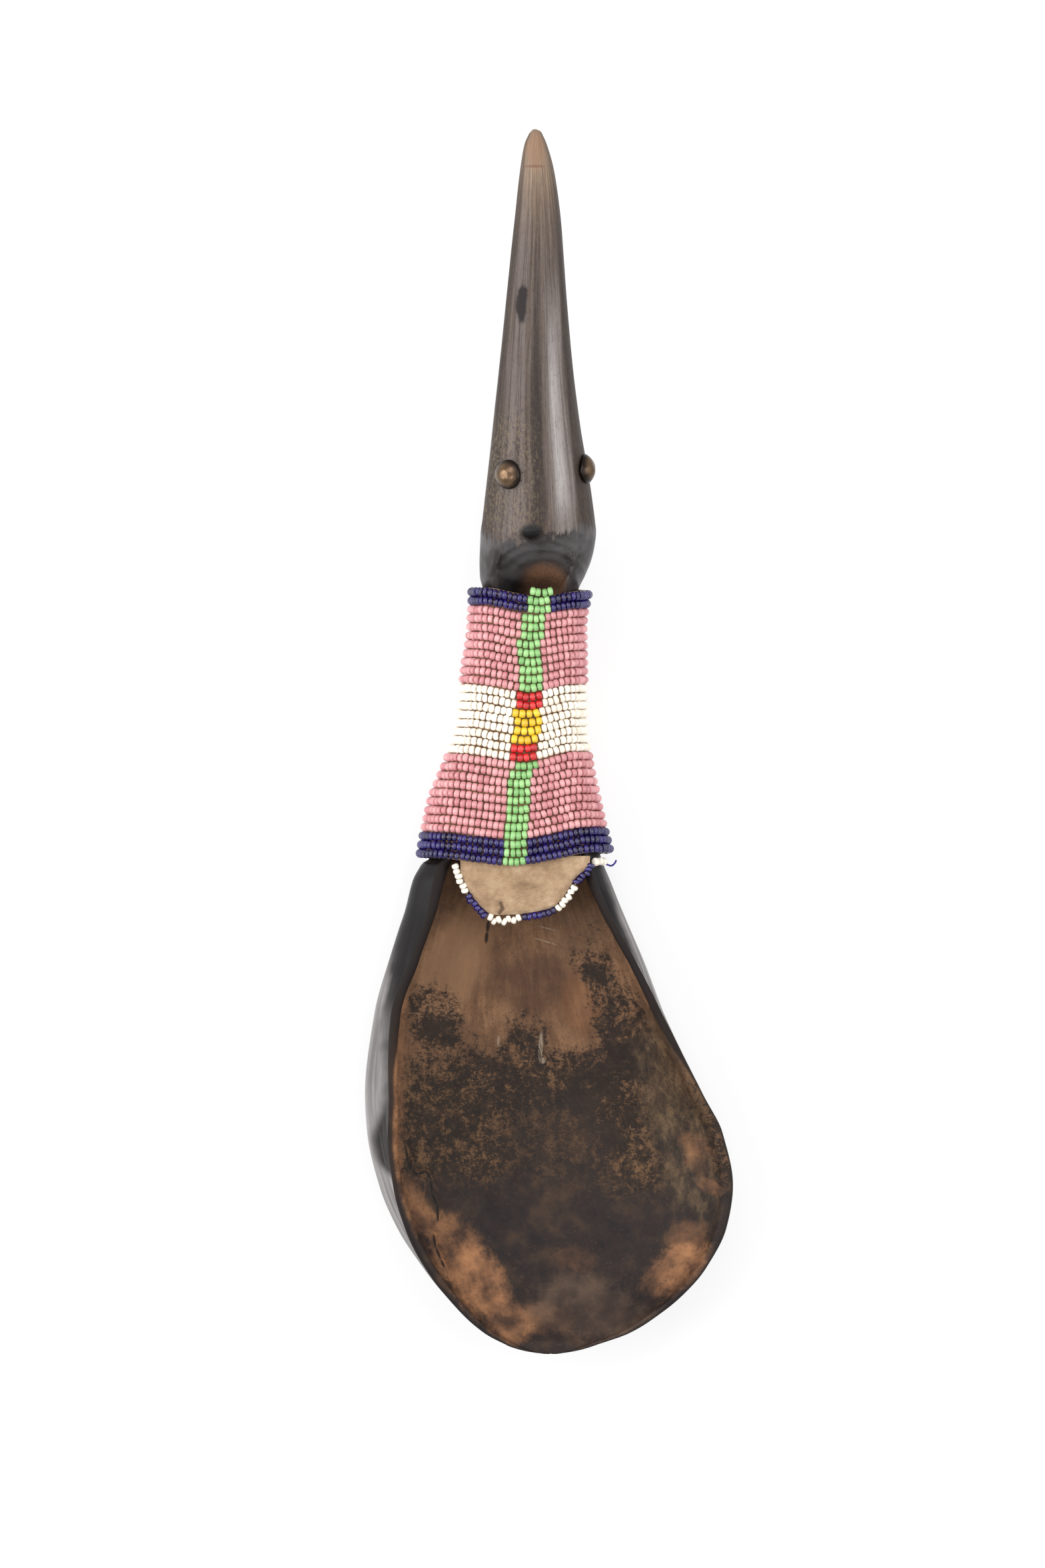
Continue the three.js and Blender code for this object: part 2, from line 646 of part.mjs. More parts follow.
function addPiece(name, geometry, colour) {
  const finish = FINISHES[colour] ?? GLASS_FINISH;
  const material = new THREE.MeshStandardMaterial({ color: COLOURS[colour], ...finish });
  const mesh = new THREE.Mesh(geometry, material);
  mesh.name = name;
  spoon.add(mesh);
  return mesh;
}

function addRuns(prefix, rowsByName, places, suffix = "") {
  let firstRow = 0;
  for (const [name, rows] of Object.entries(rowsByName)) {
    const geometry = beadedBand(places, firstRow, rows);
    addPiece(`${prefix}${name}${suffix}`, geometry, name.split("_")[0]);
    firstRow += rows;
  }
}

addPiece("horn", fromSolid(drilledHorn()), "horn");
for (const side of Object.keys(EYE_FROM_NECK)) {
  const { point, normal } = eyeSeat(side);
  const tack = addPiece(`tack_${side}`, tackGeometry(), "brass");
  tack.quaternion.copy(turnTo(normal));
  tack.position.copy(point).addScaledVector(normal, FIT_GAP);
}
addPiece("hide_sleeve", hideSleeve(), "hide");
addRuns("beads_", ROWS, halfPlaces(-1), "_left");
addRuns("beads_", ROWS, halfPlaces(1), "_right");
addRuns("stripe_", STRIPE_ROWS, stripePlaces());
addPiece("seam_sinew", seamLacing(), "sinew");
addPiece("hide_tongue", hideTongue(), "hide");
for (const { name, colour, geometry } of edgeRuns()) addPiece(name, geometry, colour);
addPiece("edge_end_white", endStrand(), "white");

export default spoon;
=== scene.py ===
"""Horn spoon: a carved horn with brass tack eyes and a beaded hide sleeve round its neck.

Sizes are in millimetres until a mesh is made. "Along" runs from the bowl to the tip and is zero
where the bowl ends and the neck begins.
"""
import math

import bpy
import numpy as np
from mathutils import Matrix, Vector, noise


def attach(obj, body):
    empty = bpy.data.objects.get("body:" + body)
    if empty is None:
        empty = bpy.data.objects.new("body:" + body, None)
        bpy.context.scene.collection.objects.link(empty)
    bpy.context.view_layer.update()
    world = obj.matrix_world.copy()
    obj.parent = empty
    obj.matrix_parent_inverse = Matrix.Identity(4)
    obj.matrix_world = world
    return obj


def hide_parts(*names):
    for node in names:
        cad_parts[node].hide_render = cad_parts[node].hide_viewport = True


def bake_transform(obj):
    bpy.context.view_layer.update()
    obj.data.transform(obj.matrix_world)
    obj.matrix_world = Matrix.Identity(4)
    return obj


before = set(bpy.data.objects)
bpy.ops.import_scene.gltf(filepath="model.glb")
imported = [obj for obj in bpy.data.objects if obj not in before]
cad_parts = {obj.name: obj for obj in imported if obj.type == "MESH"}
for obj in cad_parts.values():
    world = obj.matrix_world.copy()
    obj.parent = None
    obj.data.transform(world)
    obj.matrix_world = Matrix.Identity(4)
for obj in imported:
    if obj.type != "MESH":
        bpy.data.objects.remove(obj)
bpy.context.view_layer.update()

MM = 0.001
PIXELS_PER_MM = 7.04
PHOTO_SIZE = (1568, 2352)
ORIGIN_PIXEL = (800, 1290)

WALL = 3.4
SIDE_WALL = 2.2
BOWL_LENGTH = 105.3
BOWL_WIDTH = 78.5
BOWL_DEPTH = 18
LIP_X = 3.7
LIP_HEIGHT = 13.2
NECK_WIDTH = 36.8
NECK_DEPTH = 8.7
NECK_HEIGHT = 3.37
NECK_BARE = 1.05
HEAD_LENGTH = 98.1
HEAD_WIDTH = 24.55
HEAD_DEPTH = 10.7
TIP_X = 0.45
TIP_RISE = 41.73
FLAT_X = 1
FLAT_PLACE = 0.5033

BOWL_SECTIONS = [
    [0.9848, -0.065, 0.1605, 0.7879, 0.2056, 90, 90, 1],
    [0.9592, -0.1299, 0.2573, 0.6515, 0.3389, 90, 90, 1],
    [0.9307, -0.1771, 0.3223, 0.5303, 0.4833, 91, 89, 1],
    [0.8765, -0.2446, 0.414, 0.3409, 0.6778, 93, 87, 1],
    [0.8224, -0.3006, 0.4739, 0.2045, 0.8222, 99, 83, 1],
    [0.7417, -0.3707, 0.5261, 0.0758, 0.9333, 108, 77, 1],
    [0.661, -0.4178, 0.5427, 0, 0.9778, 113, 73, 1],
    [0.5527, -0.451, 0.5134, -0.0379, 0.9944, 118, 73, 1],
    [0.4748, -0.4573, 0.4611, -0.0379, 0.9833, 121, 77, 1],
    [0.3105, -0.4318, 0.3541, 0.0152, 0.8611, 118, 95, 1],
    [0.2023, -0.3924, 0.2981, 0.0985, 0.7111, 124, 108, 1],
    [0.094, -0.3452, 0.2357, 0.197, 0.5611, 128, 117, 1],
    [0.0408, -0.3159, 0.2076, 0.2348, 0.5, 128, 120, 1],
]
NECK_SECTIONS = [
    [0, -0.6033, 0.3967, 0, 0.977, 126, 122, 1],
    [0.2246, -0.5272, 0.3071, 0, 0.9885, 125, 125, 1],
    [0.3596, -0.4457, 0.2636, 0, 1, 125, 125, 1],
    [0.5053, -0.3696, 0.231, 0.0031, 1.0115, 125, 125, 1],
    [0.7228, -0.3315, 0.2283, 0.0367, 1, 125, 125, 1],
    [0.8719, -0.2962, 0.2255, 0.0774, 0.9885, 125, 125, 1],
]
HEAD_SECTIONS = [
    [0, -0.4318, 0.3829, 0.1205, 0.8131, 125, 125, 0.85],
    [0.0347, -0.4603, 0.4481, 0.1301, 0.8785, 127, 127, 0.6],
    [0.0703, -0.4644, 0.5051, 0.1373, 0.9533, 128, 128, 0.36],
    [0.1019, -0.4603, 0.5336, 0.1445, 0.9907, 129, 129, 0.14],
    [0.1284, -0.4562, 0.5438, 0.1541, 1, 130, 130, 0.02],
    [0.1529, -0.444, 0.5336, 0.1637, 1, 130, 130, 0],
    [0.2446, -0.4033, 0.4847, 0.2164, 0.9439, 130, 130, 0],
    [0.3598, -0.3544, 0.4114, 0.3003, 0.8411, 130, 130, 0],
    [0.5046, -0.2933, 0.3422, 0.4249, 0.7009, 130, 130, 0],
    [0.6493, -0.2322, 0.2933, 0.5663, 0.5794, 130, 130, 0],
    [0.7951, -0.167, 0.2444, 0.722, 0.4579, 130, 130, 0],
    [0.9103, -0.1161, 0.1792, 0.8586, 0.3178, 130, 130, 0],
    [0.9684, -0.0774, 0.1141, 0.9329, 0.2056, 130, 130, 0],
    [0.9908, -0.0367, 0.0733, 0.9688, 0.1215, 130, 130, 0],
]

FIT_GAP = 0.3
HIDE_THICKNESS = 1
BEAD_HEIGHT = 1.75
ROW_PITCH = 1.85
SLEEVE_ALONG = -1.4
ROWS = {"navy_bottom": 3, "pink_lower": 9, "white": 8, "pink_upper": 9, "navy_top": 2}
STRIPE_ROWS = {"green_lower": 12, "red_lower": 2, "yellow": 4, "red_upper": 2, "green_upper": 12}
ROW_RISE = 2.2
FRONT_CROWN = 1.3
SEAM_WIDTH = 2.4
SINEW_DIAMETER = 0.6
STITCH_PITCH = 3.7
TONGUE_X = -2.4
TONGUE_WIDTH = 27.4
TONGUE_LENGTH = 11.3
TONGUE_DROP = 0.25
TONGUE_CURVE = 0.003
TONGUE_BOW = 0.6
EDGE_BEAD_DIAMETER = 1.7
EDGE_BEAD_PITCH = 1.35
LEFT_EDGE = [[-0.5, 0.106], [-0.471, 0.292], [-0.42, 0.522], [-0.343, 0.761], [-0.263, 0.929]]
END_EDGE = [[-0.182, 1], [-0.08, 0.973], [0.044, 0.92], [0.168, 0.867]]
RIGHT_EDGE = [[0.5, 0.106], [0.442, 0.221], [0.394, 0.398], [0.339, 0.602], [0.266, 0.788]]
TACK_HEAD_DIAMETER = 6.3
TACK_HEAD_HEIGHT = 2
TACK_SHANK_DIAMETER = 1.5
TACK_SHANK_LENGTH = 7
HEAD_TWIST = 19
EYE_SPREAD = 55
EYE_FROM_NECK = {"left": 25, "right": 26.2}

SIDE_ROWS = sum(ROWS.values())
SLEEVE_LENGTH = SIDE_ROWS * ROW_PITCH
BEAD_INNER = FIT_GAP + HIDE_THICKNESS + FIT_GAP
BEAD_RADIUS = BEAD_HEIGHT / 2
NECK_LENGTH = SLEEVE_ALONG + SLEEVE_LENGTH + NECK_BARE
TIP_ALONG = NECK_LENGTH + HEAD_LENGTH
SHIFT = np.array([-FLAT_X, FLAT_PLACE * BOWL_LENGTH, 0])

rng = np.random.default_rng(11)


def mix(a, b, share):
    return a + (b - a) * share


def smoothstep(low, high, value):
    t = np.clip((value - low) / (high - low), 0, 1)
    return t * t * (3 - 2 * t)


# The shape of the horn.

def sized(table, start, length, width, depth, base, rise):
    rows = np.array(table, float)
    scale = np.array([length, width, width, rise, depth, 1, 1, 1])
    return rows * scale + np.array([start, 0, 0, base, 0, 0, 0, 0])


sections = np.vstack([
    sized(BOWL_SECTIONS, 0, -BOWL_LENGTH, BOWL_WIDTH, BOWL_DEPTH, 0, LIP_HEIGHT),
    sized(NECK_SECTIONS, 0, NECK_LENGTH, NECK_WIDTH, NECK_DEPTH, NECK_HEIGHT, TIP_RISE),
    sized(HEAD_SECTIONS, NECK_LENGTH, HEAD_LENGTH, HEAD_WIDTH, HEAD_DEPTH, NECK_HEIGHT, TIP_RISE),
])


def smooth_through(xs, ys):
    """A smooth curve through the given points that never overshoots them."""
    xs, ys = np.asarray(xs, float), np.asarray(ys, float)
    slopes = np.diff(ys) / np.diff(xs)
    before, after = slopes[:-1], slopes[1:]
    same = before * after > 0
    inner = np.where(same, 2 * before * after / np.where(same, before + after, 1), 0)
    tangents = np.concatenate([slopes[:1], inner, slopes[-1:]])

    def at(x):
        i = np.clip(np.searchsorted(xs, x) - 1, 0, len(xs) - 2)
        span = xs[i + 1] - xs[i]
        t = np.clip((x - xs[i]) / span, 0, 1)
        ease = t * (1 - t) ** 2 * tangents[i] - t * t * (1 - t) * tangents[i + 1]
        return mix(ys[i], ys[i + 1], t * t * (3 - 2 * t)) + span * ease

    return at


columns = [smooth_through(sections[:, 0], sections[:, i]) for i in range(1, 8)]


def section_at(along):
    left, right, back, depth, left_curl, right_curl, hollow = (c(along) for c in columns)
    left_curl, right_curl = np.radians(left_curl), np.radians(right_curl)
    half = (right - left) / 2
    return {
        "middle": (left + right) / 2,
        "half": half,
        "height": back + depth,
        "depth": depth,
        "left_half": half / np.sin(np.minimum(left_curl, math.pi / 2)),
        "right_half": half / np.sin(np.minimum(right_curl, math.pi / 2)),
        "left_rim": -left_curl,
        "right_rim": right_curl,
        "hollow": hollow,
    }


def ellipse_point(section, angle, inwards=0):
    sideways = np.sin(angle)
    half = np.where(sideways < 0, section["left_half"], section["right_half"])
    side = np.minimum(inwards * SIDE_WALL, 0.8 * half)
    floor = np.minimum(inwards * WALL, 0.8 * section["depth"])
    x = section["middle"] + (half - side) * sideways
    z = section["height"] - (section["depth"] - floor) * np.cos(angle)
    return np.stack(np.broadcast_arrays(x, np.maximum(z, 0)), axis=-1)


OUTER_COLUMNS = 97
FRONT_COLUMNS = 81
RIM_COLUMNS = 5
HORN_RINGS = 396
LIP_RINGS = 9
TIP_RINGS = 5
RIM_BULGE = 0.3
RIM_ANGLE = math.radians(12)
SHOULDER = 1.35
GRAIN_SCALE = 12


def rim_points(section, side):
    """The rounded rim of one wall, from outside to inside; on solid horn it lies on the ellipse."""
    curl = section["right_rim" if side > 0 else "left_rim"]
    outer = ellipse_point(section, curl)
    inner = ellipse_point(section, curl, 1)
    way = ellipse_point(section, curl + side * 0.01) - outer
    way /= np.linalg.norm(way, axis=-1, keepdims=True)
    wall = np.linalg.norm(inner - outer, axis=-1, keepdims=True)
    points = []
    for j in range(1, RIM_COLUMNS + 1):
        t = math.pi * j / (RIM_COLUMNS + 1)
        rounded = mix(outer, inner, (1 - math.cos(t)) / 2) + way * wall * RIM_BULGE * math.sin(t)
        solid = ellipse_point(section, curl + side * RIM_ANGLE * j / (RIM_COLUMNS + 1))
        points.append(mix(solid, rounded, section["hollow"][..., None]))
    if side < 0:
        points.reverse()
    return np.concatenate(points, axis=1)


def horn_grid(alongs):
    section = section_at(alongs[:, None])
    share = np.linspace(0, 1, OUTER_COLUMNS)[None, :]
    left, right = section["left_rim"], section["right_rim"]
    outer = ellipse_point(section, mix(left, right, share))
    share = np.linspace(0, 1, FRONT_COLUMNS)[None, :]
    over = mix(right + RIM_ANGLE, 2 * math.pi + left - RIM_ANGLE, share)
    under = mix(right, left, share)
    hollow = section["hollow"][..., None]
    front = mix(ellipse_point(section, over), ellipse_point(section, under, 1), hollow)
    flat = np.concatenate([outer, rim_points(section, 1), front, rim_points(section, -1)], axis=1)
    y = np.broadcast_to(alongs[:, None], flat.shape[:2])
    return np.stack([flat[..., 0], y, flat[..., 1]], axis=-1)


def rounded_end(ring, point, rings):
    """Rings that close an end on a parabola, from the last ring towards the end point."""
    out = []
    for k in range(1, rings + 1):
        t = k / (rings + 0.5)
        body = mix(ring, point, t)
        body[:, 1] = mix(ring[:, 1], point[1], 1 - (1 - t) ** 2)
        out.append(body)
    return out


def grid_normals(grid):
    around = np.roll(grid, -1, axis=1) - np.roll(grid, 1, axis=1)
    lengthwise = np.gradient(grid, axis=0)
    normal = np.cross(around, lengthwise)
    size = np.linalg.norm(normal, axis=-1, keepdims=True)
    return normal / np.maximum(size, 1e-9)


def noise_field(points, scales, octaves=1):
    flat = (points / np.array(scales)).reshape(-1, 3)
    if octaves == 1:
        values = [noise.noise(Vector(p)) for p in flat]
    else:
        values = [noise.fractal(Vector(p), 0.9, 2.0, octaves) for p in flat]
    return np.array(values).reshape(points.shape[:-1])


CRACKS = [
    [(-27.3, -61.2), (-26.6, -64.6), (-25.9, -66.4), (-24.6, -67.1), (-22.8, -66.4),
     (-21.9, -68.2), (-21.6, -71.2), (-20.5, -73.7), (-20.3, -77.2)],
    [(-21.3, -79.8), (-20.8, -82.6), (-19.7, -85.2), (-18.9, -86.9)],
    [(-9.5, -12.9), (-9.8, -15.4), (-10.1, -17.8)],
]


def distance_to_line(x, y, line):
    best = np.full(x.shape, 1e9)
    for (ax, ay), (bx, by) in zip(line, line[1:]):
        dx, dy = bx - ax, by - ay
        t = np.clip(((x - ax) * dx + (y - ay) * dy) / (dx * dx + dy * dy), 0, 1)
        best = np.minimum(best, np.hypot(x - ax - t * dx, y - ay - t * dy))
    return best


BOWL_END = 30
SHELF_ALONG = 69.4
SHELF_WANDER = 1.3
SHELF_HEIGHT = 0.28
ARC_CENTRE = (1.9, 57.6)
ARC_STRETCH = 1.15
ARC_PITCH = 1.9
ARC_HEIGHT = 0.2
PIT_CENTRE = (-0.4, 69.8)
PIT_SIZE = (2.3, 1.5)
PIT_DEPTH = 0.55
CRACK_DEPTH = 0.55
RIM_LUMPS = 0.18


def horn_relief(grid, grain, upwards, inside, hollow):
    """How far the horn stands out from its plain shape: swells, grain, shelf, arcs, pit, cracks."""
    x, y = grid[..., 0], grid[..., 1]
    in_bowl = inside * hollow
    handle = smoothstep(66, 72, y)
    outside = (1 - in_bowl) * (1 - handle)
    lively = handle * (smoothstep(156, 120, y) * 0.6 + 0.4)
    top = smoothstep(-0.1, 0.5, upwards)
    bump = 0
    for where, height, points, scales, octaves in (
        (outside, 0.22, grid, (21, 30, 21), 1),
        (outside, 0.05, grid, (4, 9, 4), 1),
        (lively, 0.42, grain, (7, 52, 7), 1),
        (lively, 0.13, grain, (2.4, 26, 2.4), 1),
        (handle, 0.04, grain, (0.9, 9, 0.9), 1),
        (in_bowl, 0.16, grid, (10, 14, 10), 1),
        (in_bowl, 0.07, grid, (2.2, 3, 2.2), 3),
    ):
        bump = bump + where * height * noise_field(points, scales, octaves)
    shelf_line = y + SHELF_WANDER * noise_field(grid, (4, 40, 4))
    shelf = top * smoothstep(SHELF_ALONG + 0.5, SHELF_ALONG - 0.7, shelf_line)
    bump += SHELF_HEIGHT * shelf * smoothstep(58, 66, y)
    radius = np.hypot((x - ARC_CENTRE[0]) / ARC_STRETCH, y - ARC_CENTRE[1])
    arcs = top * smoothstep(4.6, 5.6, radius) * smoothstep(12, 9, radius)
    bump += ARC_HEIGHT * arcs * np.cos(2 * math.pi * radius / ARC_PITCH)
    pit = np.hypot((x - PIT_CENTRE[0]) / PIT_SIZE[0], (y - PIT_CENTRE[1]) / PIT_SIZE[1])
    bump -= PIT_DEPTH * top * smoothstep(1, 0.35, pit)
    cracks = [smoothstep(0.9, 0.1, distance_to_line(x, y, line)) for line in CRACKS]
    bump -= CRACK_DEPTH * inside * hollow * np.max(cracks, axis=0)
    rim = 4 * inside * (1 - inside)
    return bump + hollow * rim * RIM_LUMPS * noise_field(grid, (3, 5, 3))


def horn_piece():
    first, last = sections[0, 0], sections[-1, 0]
    lip = np.array([LIP_X, -BOWL_LENGTH, LIP_HEIGHT])
    tip = np.array([TIP_X, TIP_ALONG, NECK_HEIGHT + TIP_RISE])
    grid = horn_grid(np.linspace(first, last, HORN_RINGS))
    start = rounded_end(grid[0], lip, LIP_RINGS)[::-1]
    grid = np.concatenate([start, grid, rounded_end(grid[-1], tip, TIP_RINGS)])
    x, y, z = grid[..., 0], grid[..., 1], grid[..., 2]
    section = section_at(np.clip(y[:, :1], first, last))
    across = (x - section["middle"]) / section["half"]
    upwards = (z - section["height"]) / section["depth"]
    hollow = smoothstep(0.05, 0.9, section["hollow"])
    rim = np.arange(1, RIM_COLUMNS + 1) / (RIM_COLUMNS + 1)
    inside = np.concatenate([np.zeros(OUTER_COLUMNS), rim, np.ones(FRONT_COLUMNS), 1 - rim])
    inside = np.broadcast_to(inside, x.shape)
    grain = np.stack([across * GRAIN_SCALE, y, upwards * GRAIN_SCALE], axis=-1)
    relief = horn_relief(grid, grain, upwards, inside, hollow)
    body = grid + grid_normals(grid) * relief[..., None]
    shoulder = smoothstep(0.45, -0.9, y) * smoothstep(-12, 0.3, y)
    body[..., 0] -= SHOULDER * (shoulder * smoothstep(-0.5, -0.85, across))
    body[..., 2] = np.where(z < 0.05, z, np.maximum(body[..., 2], 0))

    rings, size = body.shape[:2]
    low, base = rings * size, (rings - 1) * size
    faces = strip_faces(rings, size)
    for a in range(size):
        b = (a + 1) % size
        faces += [[low, a, b], [low + 1, base + b, base + a]]
    front = slice(OUTER_COLUMNS + RIM_COLUMNS, OUTER_COLUMNS + RIM_COLUMNS + FRONT_COLUMNS)
    reach = np.linalg.norm(np.diff(grid[:, front], axis=1), axis=-1).cumsum(axis=1)
    reach = np.concatenate([np.zeros((rings, 1)), reach], axis=1)
    from_rim = np.zeros(x.shape)
    from_rim[:, front] = np.minimum(reach, reach[:, -1:] - reach)
    ends = [[0, -BOWL_LENGTH, 0], [0, TIP_ALONG, 0]]
    piece = make_piece("carved_horn", np.concatenate([body.reshape(-1, 3), [lip], [tip]]), faces, {
        "grain": np.concatenate([grain.reshape(-1, 3), ends]),
        "from_rim": np.append(from_rim, [9, 0]),
        "inside": np.append(inside * hollow, [1, 0]),
        "front": np.append(inside, [1, 1]),
    })
    place(piece, "spoon", "horn", materials["horn_skin"], "horn")
    piece.data.materials.append(materials["horn_bowl"])
    ring, column = np.divmod(np.arange(base), size)
    bowl = (column >= OUTER_COLUMNS) & (y[ring, 0] < BOWL_END)
    slots = np.concatenate([bowl, np.tile([True, False], size)])
    piece.data.polygons.foreach_set("material_index", slots.astype(np.int32))


# Making meshes.

def strip_faces(rings, size, order=(0, 1, 2, 3)):
    """Quads between neighbouring rings of points that are listed ring after ring. The order is
    that of a quad's corners."""
    i, j = np.arange(rings - 1)[:, None] * size, np.arange(size)[None, :]
    k = (j + 1) % size
    quads = np.stack([i + j, i + size + j, i + size + k, i + k], axis=-1)
    return quads.reshape(-1, 4)[:, list(order)].tolist()


def make_piece(name, points, faces, fields=None):
    mesh = bpy.data.meshes.new(name)
    mesh.from_pydata(((np.asarray(points) + SHIFT) * MM).tolist(), [], faces)
    mesh.validate()
    if signed_volume(mesh) < 0:
        mesh.flip_normals()
    mesh.polygons.foreach_set("use_smooth", [True] * len(mesh.polygons))
    for key, values in (fields or {}).items():
        kind, member = ("FLOAT_VECTOR", "vector") if np.ndim(values) == 2 else ("FLOAT", "value")
        layer = mesh.attributes.new(key, kind, "POINT")
        layer.data.foreach_set(member, np.ravel(values).astype(float))
    piece = bpy.data.objects.new(name, mesh)
    bpy.context.scene.collection.objects.link(piece)
    return piece


def signed_volume(mesh):
    mesh.calc_loop_triangles()
    points = np.empty(len(mesh.vertices) * 3)
    mesh.vertices.foreach_get("co", points)
    corners = np.empty(len(mesh.loop_triangles) * 3, int)
    mesh.loop_triangles.foreach_get("vertices", corners)
    a, b, c = points.reshape(-1, 3)[corners.reshape(-1, 3)].transpose(1, 0, 2)
    return float(np.einsum("ij,ij->i", a, np.cross(b, c)).sum()) / 6


def place(piece, body, slot, material, *nodes):
    piece.data.materials.append(material)
    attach(piece, body)
    if nodes:
        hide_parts(*nodes)


BEAD_PROFILE = [
    (-0.30, 0), (-0.45, 0.32), (-0.5, 0.54), (-0.46, 0.76), (-0.35, 0.91), (-0.14, 0.99),
    (0.14, 0.99), (0.35, 0.91), (0.46, 0.76), (0.5, 0.54), (0.45, 0.32), (0.30, 0),
]
BEAD_SIDES = 12


def bead_template():
    """One bead along X: length 1, radius 1, with a dimple for the hole at each end."""
    (first, _), *rings, (last, _) = BEAD_PROFILE
    points = [(first, 0, 0)]
    for a, r in rings:
        for s in range(BEAD_SIDES):
            angle = 2 * math.pi * s / BEAD_SIDES
            points.append((a, r * math.cos(angle), r * math.sin(angle)))
    points.append((last, 0, 0))
    faces = []
    for s in range(BEAD_SIDES):
        t = (s + 1) % BEAD_SIDES
        faces.append([0, 1 + t, 1 + s])
        for k in range(len(rings) - 1):
            low, high = 1 + k * BEAD_SIDES, 1 + (k + 1) * BEAD_SIDES
            faces.append([low + s, low + t, high + t, high + s])
        base = 1 + (len(rings) - 1) * BEAD_SIDES
        faces.append([base + s, base + t, len(points) - 1])
    return np.array(points), faces


BEAD_POINTS, BEAD_FACES = bead_template()


def unit(v):
    return v / np.maximum(np.linalg.norm(v, axis=-1, keepdims=True), 1e-9)


def heading(line):
    return unit(np.gradient(line, axis=0))


def sideways(way):
    """Directions in a plane, turned by a right angle."""
    return np.stack([-way[:, 1], way[:, 0]], axis=1)


def standing(flat, along):
    """Points or directions across the spoon, set at their places along it."""
    return np.stack([flat[:, 0], along, flat[:, 1]], axis=1)


# How unevenly beads are strung and made.
BEAD_TILT = 0.07
BEAD_SLIP = 0.045
BEAD_LENGTHS = (0.86, 0.99)
BEAD_SIZES = (0.93, 1.03)
BEAD_SQUASH = (0.95, 1.02)


def bead_piece(name, beads):
    """Beads are given as (centre, axis, out, length, radius)."""
    points, faces, tones = [], [], []
    for centre, axis, out, length, radius in beads:
        axis = unit(axis + rng.normal(0, BEAD_TILT, 3))
        out = unit(out - axis * np.dot(out, axis))
        up = np.cross(axis, out)
        stretch = length * rng.uniform(*BEAD_LENGTHS)
        size = radius * rng.uniform(*BEAD_SIZES)
        basis = np.stack([axis * stretch, out * size, up * size * rng.uniform(*BEAD_SQUASH)])
        start = len(points) * len(BEAD_POINTS)
        points.append(centre + rng.normal(0, BEAD_SLIP, 3) + BEAD_POINTS @ basis)
        faces.extend([[start + i for i in face] for face in BEAD_FACES])
        tones.append(np.full(len(BEAD_POINTS), rng.uniform(0, 1)))
    return make_piece(name, np.concatenate(points), faces, {"tone": np.concatenate(tones)})


# The sleeve: paths round the neck, and the beads on them.

def neck_outline(turn, along):
    section = section_at(along)
    wrapped = np.mod(turn, 2)
    left, right = section["left_rim"], section["right_rim"]
    back = ellipse_point(section, mix(right, left, wrapped))
    share = wrapped - 1
    front = mix(ellipse_point(section, left), ellipse_point(section, right), share[..., None])
    front[..., 1] += 4 * FRONT_CROWN * share * (1 - share)
    return np.where((wrapped <= 1)[..., None], back, front)


RISE_LEFT = (1.75, 2.05)
RISE_RIGHT = (3.1, 1.15)
RISE_POWER = 1.15
BACK_POINTS = 70
FRONT_POINTS = 72
NECK_GIRTH = 2.4
PATH_PASSES = 6
NORMAL_PASSES = 10
ALONG_PASSES = 8
TABLE_GAP = 0.05
STRIPE_CENTRES = [
    -4.1, -3.7, -3.75, -3.75, -3.55, -3.3, -3.2, -3.1, -3.05, -3.0, -2.6, -1.4, -2.1, -1.9,
    -1.85, -1.15, -1.0, -1.6, -0.8, -0.9, -0.5, -0.45, -0.45, -0.7, -0.9, -1.0, -0.1, -0.05, 0.0,
    1.3, 1.2, 1.75,
]
STRIPE_WIDTHS = {"green_lower": 4.95, "red_lower": 5.7, "yellow": 5.95, "red_upper": 5.6,
                 "green_upper": 5.0}


def smooth_line(line, passes):
    for _ in range(passes):
        inner = 0.25 * line[:-2] + 0.5 * line[1:-1] + 0.25 * line[2:]
        line = np.concatenate([line[:1], inner, line[-1:]])
    return line


def row_path(row, offset, seam=SEAM_WIDTH / 2):
    """A line round the neck at one row, from the seam at the back over the left rim, the front and
    the right rim to the seam again, with the directions along it and straight out of the neck."""
    plain = SLEEVE_ALONG + row * ROW_PITCH
    width = float(np.ptp([columns[0](plain), columns[1](plain)]))
    gap = seam / (NECK_GIRTH * width)
    turn = np.concatenate([
        np.linspace(0.5 + gap, 1, BACK_POINTS), np.linspace(1, 2, FRONT_POINTS)[1:-1],
        np.linspace(2, 2.5 - gap, BACK_POINTS),
    ])
    share = row / SIDE_ROWS
    centre = float(np.interp(row - 0.5, range(len(STRIPE_CENTRES)), STRIPE_CENTRES))
    left, right = mix(*RISE_LEFT, share), mix(*RISE_RIGHT, share)
    rims = neck_outline(np.array([1.0, 0.0]), np.full(2, plain))[:, 0]
    x = neck_outline(turn, np.full(turn.shape, plain))[:, 0]
    front_left, front_right = (
        np.clip((x - centre) / (rim - centre), 0, 1) ** RISE_POWER * rise
        for rim, rise in zip(rims, (left, right))
    )
    back_left = mix(left, ROW_RISE, np.clip((1 - turn) / 0.5, 0, 1))
    back_right = mix(right, ROW_RISE, np.clip((turn - 2) / 0.5, 0, 1))
    rise = np.where(turn < 1, back_left, np.where(turn > 2, back_right, front_left + front_right))
    along = plain + rise
    flat = smooth_line(neck_outline(turn, along), PATH_PASSES)
    normal = unit(smooth_line(sideways(heading(flat)), NORMAL_PASSES))
    if normal[len(turn) // 2, 1] < 0:
        normal = -normal
    line = standing(flat + normal * offset, smooth_line(along, ALONG_PASSES))
    lowest = 1.2 * BEAD_RADIUS * min(offset / 2, 1) + TABLE_GAP
    line[:, 2] = np.maximum(line[:, 2], lowest)
    return turn, line, heading(line), standing(normal, np.zeros(len(turn)))


